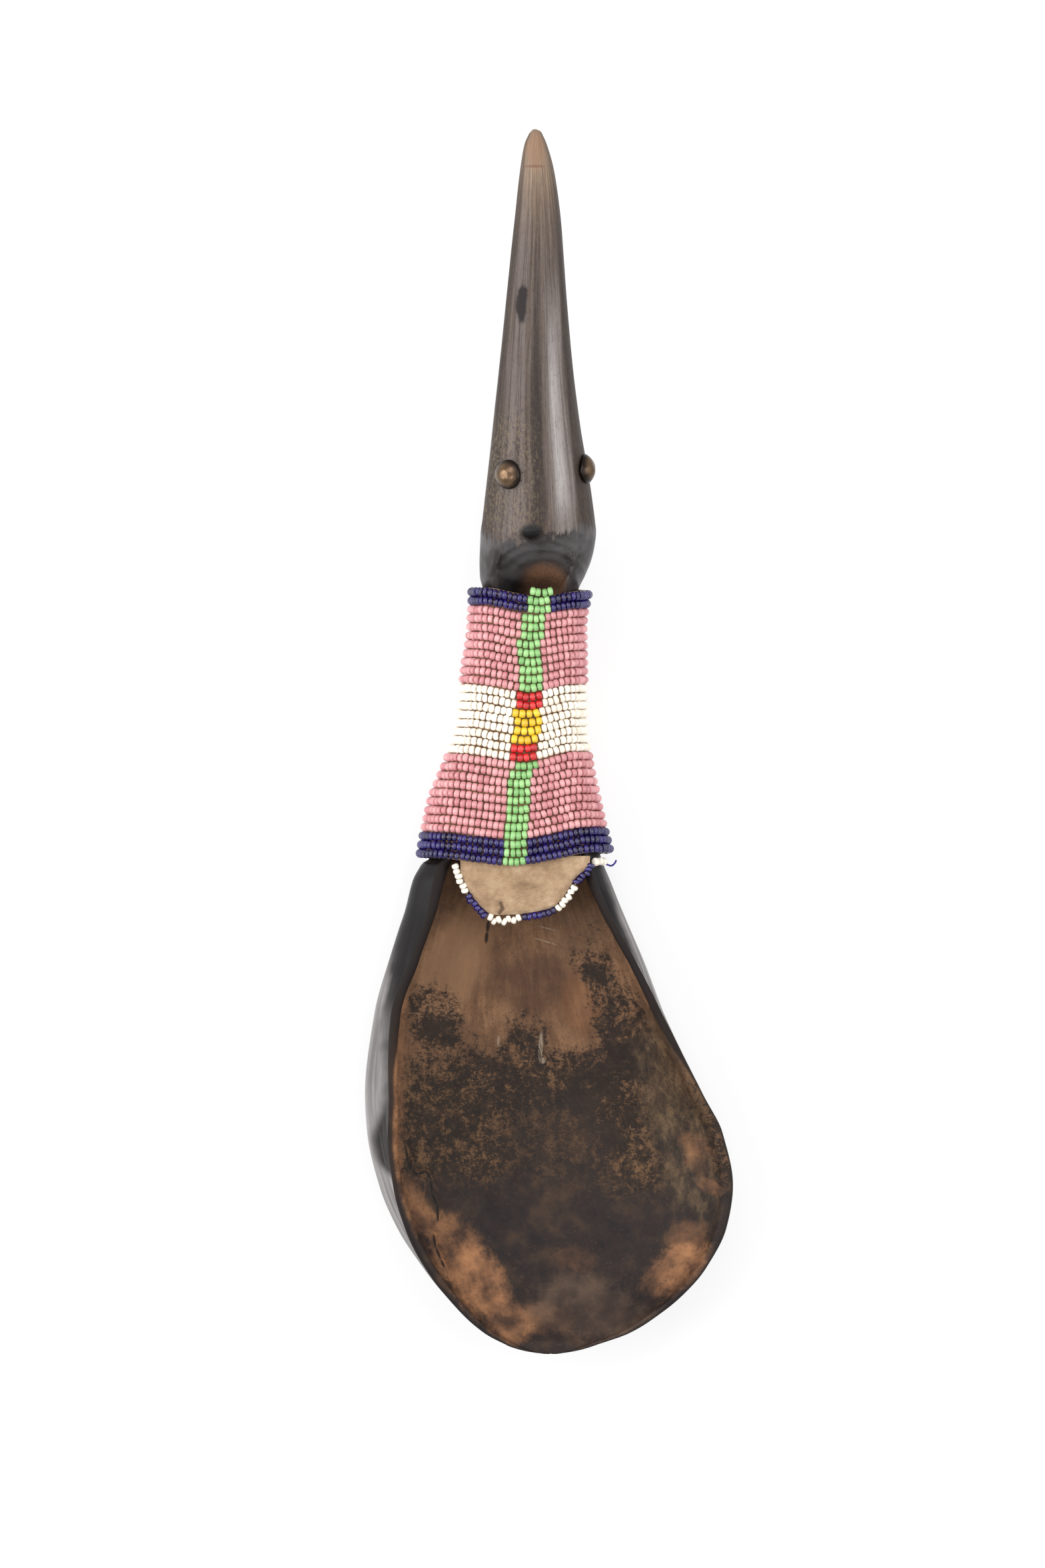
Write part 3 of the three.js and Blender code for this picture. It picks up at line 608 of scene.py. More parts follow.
def arc_lengths(line):
    return np.concatenate([[0], np.cumsum(np.linalg.norm(np.diff(line, axis=0), axis=1))])


def at_length(at, lengths, *fields):
    """What each field of a line is where the line has run the given length."""
    return [np.array([np.interp(at, lengths, field[:, c]) for c in range(3)]) for field in fields]


def resampled(path, number):
    """Points close together on a smooth line through the path."""
    reach = arc_lengths(path)
    fine = np.linspace(0, reach[-1], number)
    return np.stack([smooth_through(reach, path[:, c])(fine) for c in range(3)], axis=1)


BEAD_PITCH = (1.29, 1.2)
TIGHT_PITCH = 0.88
FAT = 1.07
FILL = 0.99
TIGHT_FAT = 1.14


def beads_between(lengths, fields, start, end, pitch, fat=FAT):
    number = max(1, round((end - start) / pitch))
    step = (end - start) / number
    beads = []
    for i in range(number):
        centre, axis, out = at_length(start + (i + 0.5) * step, lengths, *fields)
        beads.append((centre, unit(axis), unit(out), step * FILL, BEAD_RADIUS * fat))
    return beads


def zone_of(rows, row):
    first = 0
    for name, number in rows.items():
        if row < first + number:
            return name
        first += number
    return None


def sleeve_beads():
    groups = {}
    points, faces = [], []
    for row in range(SIDE_ROWS + 1):
        turn, *fields = row_path(row + 0.5, BEAD_INNER + BEAD_RADIUS)
        line = fields[0]
        lengths = arc_lengths(line)
        if row < SIDE_ROWS:
            body, rings = tube_mesh(line[1:-1:2], THREAD_RADIUS, 6)
            faces.extend([[len(points) + i for i in ring] for ring in rings])
            points.extend(body)
        stripe, side = zone_of(STRIPE_ROWS, row), zone_of(ROWS, row)
        half = STRIPE_WIDTHS[stripe] / 2
        front = (turn >= 1) & (turn <= 2)
        centre = float(np.interp(STRIPE_CENTRES[row], line[front, 0], lengths[front]))
        spans = [(f"stripe_{stripe}", centre - half, centre + half, half / 2)]
        if side:
            tight = side.startswith("navy")
            pitch = mix(*BEAD_PITCH, row / SIDE_ROWS) * (TIGHT_PITCH if tight else 1)
            fat = TIGHT_FAT if tight else FAT
            spans += [(f"beads_{side}_left", 0, centre - half, pitch, fat),
                      (f"beads_{side}_right", centre + half, lengths[-1], pitch, fat)]
        for node, *span in spans:
            groups.setdefault(node, []).extend(beads_between(lengths, fields, *span))
    for node, beads in groups.items():
        colour = node.split("_")[1]
        piece = bead_piece(f"glass_{node}", beads)
        place(piece, "spoon", f"{colour}_glass", materials[colour], node)
    place(make_piece("row_threads", points, faces), "spoon", "sinew", materials["thread"])


HIDE_RINGS = 64
HIDE_PUCKER = (0.3, 0.75)
HIDE_SLIT = 0.12
HIDE_LUMPS = 0.12
HIDE_LUMP_SIZE = (2.6, 2.6, 2.6)
HIDE_DRAWN_IN = 0.45


def hide_sleeve():
    layers = []
    shares = np.linspace(0, 1, HIDE_RINGS)
    for depth, order in ((FIT_GAP, shares), (FIT_GAP + HIDE_THICKNESS, shares[::-1])):
        for share in order:
            _, line, _, out = row_path(share * SIDE_ROWS, depth, HIDE_SLIT)
            if depth > FIT_GAP:
                pucker = mix(*HIDE_PUCKER, smoothstep(0, 0.03, min(share, 1 - share)))
                line += out * (pucker + HIDE_LUMPS * noise_field(line, HIDE_LUMP_SIZE))[:, None]
                edge = np.minimum(np.arange(len(line)), np.arange(len(line))[::-1])
                line -= out * (HIDE_DRAWN_IN * smoothstep(3, 0, edge))[:, None]
            line[:, 2] = np.maximum(line[:, 2], 0.1)
            layers.append(line)
    rings = np.array(layers).transpose(1, 0, 2)
    count, size = rings.shape[:2]
    faces = strip_faces(count, size)
    for i in (0, count - 1):
        for j in range(HIDE_RINGS - 1):
            a, b = i * size + j, i * size + j + 1
            c, d = i * size + size - 2 - j, i * size + size - 1 - j
            faces.append([a, b, c, d] if i == 0 else [d, c, b, a])
    piece = make_piece("tanned_hide_sleeve", rings.reshape(-1, 3), faces)
    place(piece, "spoon", "hide", materials["hide"], "hide_sleeve")


THREAD_RADIUS = 0.26
TUBE_END = 0.45


def tube_mesh(line, radius, sides, wobble=0.0):
    way = heading(line)
    side = unit(np.cross(way, np.array([0.02, 0.03, 1.0])))
    over = np.cross(side, way)
    points = []
    for i, centre in enumerate(line):
        size = radius * (1 if 0 < i < len(line) - 1 else TUBE_END)
        for s in range(sides):
            angle = 2 * math.pi * s / sides
            r = size * (1 + wobble * math.cos(2 * angle + 1.3 * i))
            points.append(centre + side[i] * r * math.cos(angle) + over[i] * r * math.sin(angle))
    faces = [list(range(sides)), list(range(len(points) - sides, len(points)))[::-1]]
    return points, faces + strip_faces(len(line), sides, [3, 0, 1, 2])


def tube(name, *shape):
    return make_piece(name, *tube_mesh(*shape))


STITCH_STEPS = 8
STITCH_SAG = 0.22
STITCH_WANDER = (0.06, 0.12)


def seam_sinew():
    radius = SINEW_DIAMETER / 2
    length = SLEEVE_LENGTH - 2 * ROW_PITCH
    halves = 2 * round(length / STITCH_PITCH)
    swing = (SEAM_WIDTH - SINEW_DIAMETER) / 2 - FIT_GAP
    knots = []
    for i in range(halves + 1):
        row = 1 + i / halves * length / ROW_PITCH
        point = row_path(row, FIT_GAP + HIDE_THICKNESS + SINEW_DIAMETER * 0.75, 0.1)[1][0]
        point[0] += (swing if i % 2 == 0 else -swing) + rng.normal(0, STITCH_WANDER[0])
        point[1] += rng.normal(0, STITCH_WANDER[1])
        point[2] = max(point[2], radius + TABLE_GAP)
        knots.append(point)
    line = []
    for knot, following in zip(knots, knots[1:]):
        for t in np.linspace(0, 1, STITCH_STEPS + 1)[:-1]:
            body = mix(knot, following, t)
            body[2] -= STITCH_SAG * math.sin(math.pi * t)
            line.append(body)
    line = smooth_line(np.array(line + knots[-1:]), 3)
    line[:, 2] = np.maximum(line[:, 2], radius + 0.02)
    piece = tube("sinew_lacing", line, radius, 10, 0.16)
    place(piece, "spoon", "sinew", materials["sinew"], "seam_sinew")


# The tongue of hide and its beads.

TONGUE_ROOT = SLEEVE_ALONG - FIT_GAP
_rims = neck_outline(np.array([1.0, 2.0 - 1e-9, 1.5]), np.full(3, TONGUE_ROOT))
ROOT_LEFT, ROOT_RIGHT = _rims[0, 0], _rims[1, 0]
TONGUE_TOP = _rims[2, 1] + FIT_GAP + HIDE_THICKNESS
TONGUE_ROWS = 58
TONGUE_COLUMNS = 72
TONGUE_TUCK = 2.6
TONGUE_THINNING = 0.35
RIP_DEPTH = 0.5
BEND_HALF_METRES = 0.0012
RIP = [(-6.9, -9.2), (-6.5, -10.4), (-7.2, -11.3)]


def on_tongue(edge):
    return [(TONGUE_X + a * TONGUE_WIDTH, TONGUE_ROOT - d * TONGUE_LENGTH) for a, d in edge]


def tongue_height(x, along):
    share = np.clip((x - ROOT_LEFT) / (ROOT_RIGHT - ROOT_LEFT), 0, 1)
    crown = FRONT_CROWN * (1 - 4 * share * (1 - share))
    down = np.maximum(TONGUE_ROOT - along, 0)
    return TONGUE_TOP - crown - TONGUE_DROP * down - TONGUE_CURVE * down * down


def hide_edge(centres, side):
    centres = np.array(centres)
    way = np.concatenate([centres[1:], centres[-1:]]) - np.concatenate([centres[:1], centres[:-1]])
    return centres + sideways(unit(way) * side * (EDGE_BEAD_DIAMETER / 2 - 0.1))


def hide_tongue():
    down = np.linspace(0, 1, TONGUE_ROWS)
    across = np.linspace(0, 1, TONGUE_COLUMNS)
    edges = []
    for edge, side, wider in ((LEFT_EDGE, 1, -0.1), (RIGHT_EDGE, -1, 1.3)):
        line = hide_edge(on_tongue(edge), side)
        root = line[0, 0] + wider
        line = np.vstack([[[root, TONGUE_ROOT + TONGUE_TUCK], [root, TONGUE_ROOT]], line])
        reach = arc_lengths(line)
        edges.append([smooth_through(reach / reach[-1], line[:, c])(down) for c in range(2)])
    x, y = (mix(left[:, None], right[:, None], across) for left, right in zip(*edges))
    bow = TONGUE_BOW * down ** 2
    y = y - 4 * bow[:, None] * across * (1 - across)
    flat = np.stack([x, y, np.zeros(x.shape)], axis=-1)
    fade = smoothstep(0, -4, y - TONGUE_ROOT)
    ripple = 0.34 * noise_field(flat, (6.5, 4.5, 1)) + 0.12 * noise_field(flat, (2.0, 1.6, 1))
    ripple += 0.035 * noise_field(flat + 9, (0.7, 0.7, 1))
    tear = smoothstep(0.9, 0.05, distance_to_line(x, y, RIP))
    top = tongue_height(x, y) + fade * ripple - RIP_DEPTH * tear
    edge = np.minimum(across, 1 - across)
    thin = TONGUE_THINNING * smoothstep(0.06, 0, edge) + (
        TONGUE_THINNING * smoothstep(0.93, 1, down)[:, None])
    points = [np.stack([x, y, height], axis=-1).reshape(-1, 3)
              for height in (top - thin, top - HIDE_THICKNESS * 0.85 + 0.5 * thin)]

    half = x.size
    at = np.arange(half).reshape(x.shape)
    upper = np.stack([at[:-1, :-1], at[:-1, 1:], at[1:, 1:], at[1:, :-1]], axis=-1).reshape(-1, 4)
    faces = np.stack([upper, half + upper[:, ::-1]], axis=1).reshape(-1, 4).tolist()
    ring = np.concatenate([at[0], at[1:, -1], at[-1, -2::-1], at[-2:0:-1, 0]]).tolist()
    for a, b in zip(ring, ring[1:] + ring[:1]):
        faces.append([b, a, half + a, half + b])
    piece = make_piece("hide_tongue_flap", np.concatenate(points), faces,
                       {"tear": np.tile(tear.ravel(), 2)})
    piece.data.materials.append(materials["hide_light"])
    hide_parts("hide_tongue")
    root = (np.array([TONGUE_X, TONGUE_ROOT, TONGUE_TOP]) + SHIFT) * MM
    reach = np.array([0, BEND_HALF_METRES, 0])
    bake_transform(piece)


# Each run of edge beads: node, colour, beads, length in bead pitches, swing from side to side.
EDGE_RUNS = [
    ("tongue_edge_white_1", "white", 6, 7.0, 0.14),
    ("tongue_edge_navy_2", "navy", 6, 6.5, 0.12),
    ("tongue_edge_white_3", "white", 7, 7.5, 0.17),
    ("tongue_edge_navy_4", "navy", 7, 7.4, 0.1),
    ("tongue_edge_white_5", "white", 6, 6.6, 0.2),
    ("tongue_edge_navy_6", "navy", 6, 5.8, 0.14),
]
EDGE_START = (-16.9, TONGUE_ROOT + 0.9)
EDGE_FINISH = (12.4, TONGUE_ROOT + 1.0)
EDGE_POINTS = 400
EDGE_THREAD_RADIUS = 0.16


def tongue_beads():
    path = [EDGE_START, *on_tongue(LEFT_EDGE), *on_tongue(END_EDGE),
            *on_tongue(RIGHT_EDGE)[::-1], EDGE_FINISH]
    path = np.array([(x, y, float(tongue_height(x, y)) - HIDE_THICKNESS / 2) for x, y in path])
    line = resampled(path, EDGE_POINTS)
    lengths = arc_lengths(line)
    units = sum(run[3] for run in EDGE_RUNS)
    pitch = (lengths[-1] - (len(EDGE_RUNS) - 1) * FIT_GAP) / units
    way = heading(line)
    side = unit(np.cross(way, [0, 0, 1.0]))
    over = np.cross(side, way)
    start = 0
    for node, colour, number, share, zigzag in EDGE_RUNS:
        end = start + share * pitch
        step = (end - start) / number
        beads = []
        for i in range(number):
            at = start + (i + 0.5) * step
            centre, axis, lateral, up = at_length(at, lengths, line, way, side, over)
            swing = (zigzag if i % 2 else -zigzag) * rng.uniform(0.1, 1.5)
            tilt = unit(axis + lateral * (swing * 1.4 + rng.normal(0, 0.14)))
            beads.append((centre + lateral * swing, tilt, unit(up), step * 1.04,
                          EDGE_BEAD_DIAMETER / 2 * 1.02))
        piece = bead_piece(f"glass_{node}", beads)
        place(piece, "tongue", f"{colour}_glass", materials[colour], node)
        start = end + FIT_GAP
    piece = tube("edge_thread", line[::4] + np.array([0, 0, -0.02]), EDGE_THREAD_RADIUS, 6)
    place(piece, "tongue", "sinew", materials["thread"])


# The loose end of thread, measured from the last bead.
TAIL = [
    (-0.9, -0.2, 0.2), (-0.1, -0.35, 0.1), (0.7, -0.75, 0.0), (1.3, -0.9, -0.2),
    (1.8, -0.6, -0.3), (2.2, -0.1, -0.2), (2.35, 0.35, 0.1),
]
TAIL_POINTS = 30
TAIL_RADIUS = 0.2


def end_strand():
    height = FIT_GAP + EDGE_BEAD_DIAMETER / 2
    below = SLEEVE_ALONG + ROW_RISE - FIT_GAP - EDGE_BEAD_DIAMETER / 2
    turn = 0.005 + 0.085 * np.linspace(0, 1, 60)
    at = np.full(turn.shape, below)
    way = unit(neck_outline(turn + 0.01, at) - neck_outline(turn - 0.01, at))
    line = smooth_line(standing(neck_outline(turn, at) + sideways(way) * height, at), 8)
    lengths = arc_lengths(line)
    end = min(lengths[-1], 3 * EDGE_BEAD_PITCH)
    fields = (line, heading(line), standing(sideways(way), 0 * at))
    piece = bead_piece("glass_edge_end_white", beads_between(lengths, fields, 0, end, 1.2))
    place(piece, "spoon", "white_glass", materials["white"], "edge_end_white")
    last = at_length(end, lengths, line)[0]
    tail = resampled(last + np.array(TAIL), TAIL_POINTS)
    piece = tube("loose_thread_end", tail, TAIL_RADIUS, 8, 0.12)
    place(piece, "spoon", "sinew", materials["thread_blue"])


# The tacks.

def eye_seat(side):
    sign = -1 if side == "left" else 1
    angle = math.pi - math.radians(HEAD_TWIST + sign * EYE_SPREAD)
    along = NECK_LENGTH + EYE_FROM_NECK[side]

    def at(place_along, turn):
        x, z = ellipse_point(section_at(np.array(place_along)), np.array(turn))
        return np.array([float(x), place_along, float(z)])

    point = at(along, angle)
    normal = unit(np.cross(at(along + 1, angle) - at(along - 1, angle),
                           at(along, angle + 0.02) - at(along, angle - 0.02)))
    centre = np.array([TIP_X, along, float(section_at(np.array(along))["height"])])
    return point, -normal if np.dot(normal, point - centre) < 0 else normal


def drop_to_horn(point, normal, most=1.6):
    """How far a point is above the horn, measured back along the normal."""
    for step in np.arange(0, most, 0.04):
        x, along, z = point - normal * step
        section = section_at(np.array(along))
        across = (x - section["middle"]) / section["half"]
        if across ** 2 + ((z - section["height"]) / section["depth"]) ** 2 <= 1:
            return step
    return most


TACK_SIDES = 56
DOME_RINGS = 20
RIM_HEIGHT = 0.27
DENT = 0.16


def tack(side):
    point, normal = eye_seat(side)
    first = unit(np.cross(normal, [0, 1.0, 0.2]))
    second = np.cross(normal, first)
    head, shank = TACK_HEAD_DIAMETER / 2, TACK_SHANK_DIAMETER / 2
    profile = [(0.02, -TACK_SHANK_LENGTH), (shank, 2 - TACK_SHANK_LENGTH), (shank, 0),
               (head * 0.93, 0), (head * 0.99, 0.05), (head, 0.16), (head * 0.99, RIM_HEIGHT)]
    profile += [(head * t, RIM_HEIGHT + (TACK_HEAD_HEIGHT - RIM_HEIGHT) * (1 - t ** 2.3))
                for t in np.linspace(0.965, 0.01, DOME_RINGS)]
    away = np.array([3.0, 7.0, 1.0]) * (1 if side == "left" else 2)
    points, dome = [], []
    base = point + normal * 0.05
    for r, h in profile:
        on_head = h > 0
        dome += [min(max(r / head, 0), 1) if on_head else 1] * TACK_SIDES
        for s in range(TACK_SIDES):
            a = 2 * math.pi * s / TACK_SIDES
            body = first * r * math.cos(a) + second * r * math.sin(a)
            out, rise = 1, h
            if on_head:
                out += 0.025 * math.sin(3 * a + 1)
                rise += DENT * noise.noise(Vector(body * 0.55 + away)) * (h / TACK_HEAD_HEIGHT)
            if r > shank * 1.2 and h <= 0.06:
                rise -= drop_to_horn(base + body, normal) * (1 - h / 0.2)
            points.append(base + body * out + normal * rise)
    faces = [list(range(TACK_SIDES))[::-1]]
    faces += strip_faces(len(profile), TACK_SIDES, [0, 3, 2, 1])
    faces.append(list(range(len(points) - TACK_SIDES, len(points))))
    piece = make_piece(f"brass_tack_{side}", points, faces, {"outwards": dome})
    place(piece, "spoon", "brass", materials["brass"], f"tack_{side}")


# Materials. A colour is red, green and blue up to 255, as it shows.

def srgb(r, g, b):
    def channel(v):
        v /= 255
        return v / 12.92 if v <= 0.04045 else ((v + 0.055) / 1.055) ** 2.4
    return (channel(r), channel(g), channel(b), 1)


class Nodes:
    """Builds a node tree."""

    def __init__(self, tree):
        self.tree = tree

    def put(self, socket, value):
        if isinstance(value, bpy.types.NodeSocket):
            self.tree.links.new(value, socket)
        else:
            socket.default_value = srgb(*value) if socket.type == "RGBA" else value

    def node(self, kind, inputs=(), output=0, **settings):
        node = self.tree.nodes.new(kind)
        for key, value in settings.items():
            setattr(node, key, value)
        for key, value in dict(inputs).items():
            self.put(node.inputs[key], value)
        return node.outputs[output]

    def math(self, operation, a, b=0.0, clamp=False):
        return self.node("ShaderNodeMath", {0: a, 1: b}, operation=operation, use_clamp=clamp)

    def plus(self, first, *more):
        return self.math("ADD", first, self.plus(*more)) if more else first

    def minus(self, a, b):
        return self.math("SUBTRACT", a, b)

    def times(self, *factors):
        product = factors[0]
        for factor in factors[1:]:
            product = self.math("MULTIPLY", product, factor)
        return product

    def backdrop_rays(self):
        """1 for the rays that show the pale background: the camera's, and in metal and glass."""
        camera, glossy, through = (
            self.node("ShaderNodeLightPath", output=f"Is {kind} Ray")
            for kind in ("Camera", "Glossy", "Transmission"))
        return self.math("MAXIMUM", self.math("MAXIMUM", camera, glossy), through)


class Shader(Nodes):
    def __init__(self, name, **surface):
        self.material = bpy.data.materials.new(name)
        self.material.use_nodes = True
        super().__init__(self.material.node_tree)
        self.surface = self.tree.nodes["Principled BSDF"]
        self.here = self.node("ShaderNodeTexCoord", output="Object")
        for socket, value in surface.items():
            self.surface.inputs[socket.replace("_", " ")].default_value = value

    def field(self, name, output="Fac"):
        return self.node("ShaderNodeAttribute", output=output, attribute_name=name)

    def stretched(self, vector, *scale):
        return self.node("ShaderNodeMapping", {"Vector": vector, "Scale": scale})

    def length(self, vector):
        return self.node("ShaderNodeVectorMath", {0: vector}, output="Value", operation="LENGTH")

    def noise(self, scale, detail, roughness, distortion=0.0, at=None):
        return self.node("ShaderNodeTexNoise", {
            "Vector": self.here if at is None else at, "Scale": scale, "Detail": detail,
            "Roughness": roughness, "Distortion": distortion})

    def range(self, value, low, high, to_low=0.0, to_high=1.0):
        return self.node("ShaderNodeMapRange", {
            "Value": value, "From Min": low, "From Max": high, "To Min": to_low,
            "To Max": to_high}, interpolation_type="SMOOTHSTEP")

    def centred(self, value, size):
        return self.times(self.minus(value, 0.5), size)

    def mix(self, factor, a, b):
        return self.node("ShaderNodeMix", {0: factor, 6: a, 7: b}, output=2, data_type="RGBA")

    def over(self, base, *layers):
        """Lays tones over a base in turn. A layer is the factors of its strength, then its tone."""
        for *factors, tone in layers:
            base = self.mix(self.times(*factors), base, tone)
        return base

    def ramp(self, factor, *stops):
        """A colour ramp. A stop is its place, then its colour."""
        node = self.tree.nodes.new("ShaderNodeValToRGB")
        self.put(node.inputs[0], factor)
        elements = node.color_ramp.elements
        while len(elements) < len(stops):
            elements.new(0.5)
        for element, (at, *colour) in zip(elements, stops):
            element.position = at
            element.color = srgb(*colour)
        return node.outputs[0]

    def bump(self, height, strength, distance, normal=None):
        inputs = {"Height": height, "Strength": strength, "Distance": distance}
        if normal is not None:
            inputs["Normal"] = normal
        return self.node("ShaderNodeBump", inputs)

    def patch(self, x, y, width, length, wobble, turn=0.0):
        """1 inside an oval on the spoon seen from above, fading to 0 at its edge."""
        x, y = (x + SHIFT[0]) * MM, (y + SHIFT[1]) * MM
        moved = self.node("ShaderNodeVectorMath", {0: self.here, 1: (-x, -y, 0)}, operation="ADD")
        turned = self.node("ShaderNodeVectorRotate", {"Vector": moved, "Angle": turn},
                           rotation_type="Z_AXIS")
        scaled = self.node("ShaderNodeVectorMath", {
            0: turned, 1: (1 / (width * MM), 1 / (length * MM), 0)}, operation="MULTIPLY")
        return self.range(self.plus(self.length(scaled), wobble), 1.15, 0.6)

    def finish(self, **sockets):
        for socket, value in sockets.items():
            self.put(self.surface.inputs[socket.replace("_", " ")], value)
        return self.material


def horn_parts(s):
    """What both horn materials start from: places on the horn, fine streaks and two wobbles."""
    grain = s.field("grain", "Vector")
    places = [s.node("ShaderNodeSeparateXYZ", {"Vector": grain}, output=c) for c in range(3)]
    streak_space = s.stretched(grain, 1, 0.035, 1)
    fine = s.noise(4.2, 4, 0.7, at=s.stretched(grain, 1, 0.05, 1))
    wobble = s.centred(s.noise(180, 4, 0.65), 1.1)
    wide = s.centred(s.noise(60, 3, 0.6), 0.9)
    return places, streak_space, fine, wobble, wide


def hollow_brown(s, fine):
    return s.mix(s.range(fine, 0.4, 0.66), (98, 70, 55), (134, 103, 80))


def skin_material():
    """The outside of the horn and its solid head."""
    s = Shader("horn_skin", IOR=1.5, Specular_IOR_Level=0.18)
    (across, along, height), streak_space, fine, wobble, wide = horn_parts(s)
    front = s.field("front")
    streaks = s.noise(1.15, 4, 0.62, 0.3, at=streak_space)
    broad = s.noise(0.32, 3, 0.6, at=streak_space)
    speck = s.noise(1900, 4, 0.75, 0.4, at=s.stretched(s.here, 1, 0.6, 1))
    blotch = s.noise(95, 4, 0.6)
    wavy = s.plus(across, s.centred(broad, 6))

    def lane(centre, reach, width):
        return s.range(s.math("ABSOLUTE", s.minus(wavy, centre)), reach, reach - width)

    # The outside of the bowl and neck: near black with grey clouds, painted silver sheen on the
    # sides in place of reflections, and painted shade along the rim by the neck over the horn's own
    # black.
    level = s.plus(height, s.times(wide, 5), s.centred(streaks, 3))
    drift = s.plus(along, s.times(wide, 18), s.centred(streaks, 10))
    edge = s.plus(s.minus(level, s.range(along, -14, -40, 0, 1.8)),
                  s.range(along, -50, -60, 0, 2.9))
    edge = s.minus(edge, s.range(along, -63, -73, 0, 6))
    painted_sheen = s.mix(s.range(streaks, 0.3, 0.72), (104, 99, 99), (150, 146, 145))
    outer = s.over(
        s.ramp(streaks, (0.35, 12, 10, 10), (0.5, 24, 21, 21), (0.62, 52, 47, 47),
               (0.75, 70, 66, 66)),
        (s.range(blotch, 0.5, 0.75, 0, 0.6), (30, 26, 27)),
        # The next two layers are painted sheen: silver on the left and right walls stands in for
        # reflections of the pale room.
        (s.range(across, -7.5, -9.5), s.range(drift, -15, -32), s.range(along, -103, -97),
         s.range(edge, 5.2, 2.4), s.range(level, -11, -1), 0.9, painted_sheen),
        (s.range(across, 8, 11), s.range(drift, 4, -13), s.range(drift, -52, -33),
         s.range(level, 5.6, 3.4), s.range(level, -9, 0), 0.85, painted_sheen),
        # Near black along the rim by the neck: painted shade over the horn's own black.
        (s.range(level, 2.6, 4.4), s.range(along, -39, -29), s.range(along, 6, -1), 0.85,
         (13, 10, 10)))

    # The head: scraped grey brown, pale lanes along it that are painted highlights, a dark lane
    # down the middle, painted shade down both sides, speckled near the eyes, with a pale tip and a
    # dark scar.
    lengthwise = s.plus(along, s.times(wide, 16))
    near_eyes = s.times(s.range(wavy, 3, -4), s.range(lengthwise, 102, 86),
                        s.range(lengthwise, 67, 75))
    scraped = s.over(
        s.ramp(streaks, (0.28, 56, 45, 43), (0.42, 84, 72, 67), (0.54, 104, 92, 86),
               (0.7, 126, 115, 108)),
        # Pale lane left of the middle: painted highlight.
        (lane(-5.8, 3.6, 2.2), s.range(streaks, 0.3, 0.5), 0.55, (124, 114, 112)),
        # Pale lane right of the middle: painted highlight.
        (lane(5.7, 3.3, 1.9), s.range(streaks, 0.25, 0.5, 0.6, 1), s.range(along, 70, 78, 0.5, 1),
         s.range(along, 128, 108), 0.85, (160, 153, 151)),
        (lane(0.2, 2.4, 1.7), s.range(along, 126, 100, 0.4, 1), 0.85, (36, 28, 27)),
        # Narrow bright lane: painted highlight.
        (lane(5.2, 2.0, 1.5), s.range(along, 71, 82), s.range(along, 114, 95),
         s.range(streaks, 0.25, 0.55, 0.35, 1), 0.6, (206, 201, 199)),
        # Dark lanes down both sides: painted shade.
        (lane(11.6, 4.2, 2.6), 0.9, (44, 33, 30)),
        (lane(-12, 4.0, 2.8), 0.85, (48, 37, 34)),
        (s.range(fine, 0.5, 0.68), s.range(broad, 0.38, 0.6), 0.5, (120, 98, 72)),
        (s.range(fine, 0.46, 0.32, 0, 0.6), (48, 39, 36)),
        (s.range(speck, 0.46, 0.66), s.range(near_eyes, 0, 1, 0.12, 0.65), (132, 117, 90)),
        (s.range(speck, 0.5, 0.34), s.range(near_eyes, 0, 1, 0.25, 0.6), (50, 40, 35)),
        (s.range(s.plus(along, s.times(wobble, 9)), 128, 153),
         s.range(s.math("ABSOLUTE", across), 11, 6.5, 0.35, 1),
         s.range(streaks, 0.3, 0.6, 0.45, 0.9),
         s.mix(s.range(fine, 0.4, 0.6), (132, 109, 88), (178, 153, 129))),
        (s.patch(0.3, 150.4, 2.2, 4.4, wobble), 0.45, (144, 106, 80)),
        (s.patch(0.1, 147.2, 2.6, 0.35, s.times(wobble, 0.6)), 0.5, (104, 62, 48)),
        (s.patch(-2.5, 118.4, 1.25, 4.9, s.times(wobble, 1.7), 0.05), (40, 34, 33)),
        (s.range(along, 140, 150, 0.24, 0.06), (22, 15, 12)))

    # The smooth slate shelf where the hollow ends, its pit with painted shade, and the brown end of
    # the hollow.
    shelf_line = s.plus(s.plus(along, s.times(wide, 9), s.centred(streaks, 9)),
                        s.times(wobble, 3))
    shelf_line = s.minus(shelf_line, s.range(across, 7, 11, 0, 1.8))
    on_top = s.range(shelf_line, 68.2, 70.2)
    below = s.range(s.plus(shelf_line, s.centred(speck, 9)), 60, 82)
    on_handle = s.plus(s.times(on_top, s.range(height, -4, 4)),
                       s.times(below, s.range(height, 4, -4)))
    slate = s.over(s.mix(s.range(blotch, 0.4, 0.6), (48, 44, 44), (80, 78, 78)),
                   (s.range(fine, 0.5, 0.7, 0, 0.5), (92, 90, 90)))
    pit = s.times(s.patch(-0.6, 69.7, 3.0, 2.2, wide), front)
    wave = s.times(wobble, 0.35)
    cave = s.times(s.patch(2.5, 58.4, 5.6, 5.4, wave), front)
    ring = s.times(s.patch(2.5, 58.4, 7.0, 7.0, wave), front, s.minus(1.0, cave))
    base = s.over(
        outer,
        (s.range(along, 55, 60), s.range(height, 12.4, 8, 0.55, 1), slate),
        (on_handle, scraped),
        # Near black in the pit: painted shade in the recess.
        (pit, (13, 11, 11)),
        (cave, hollow_brown(s, fine)),
        (ring, 0.55, (40, 31, 29)))

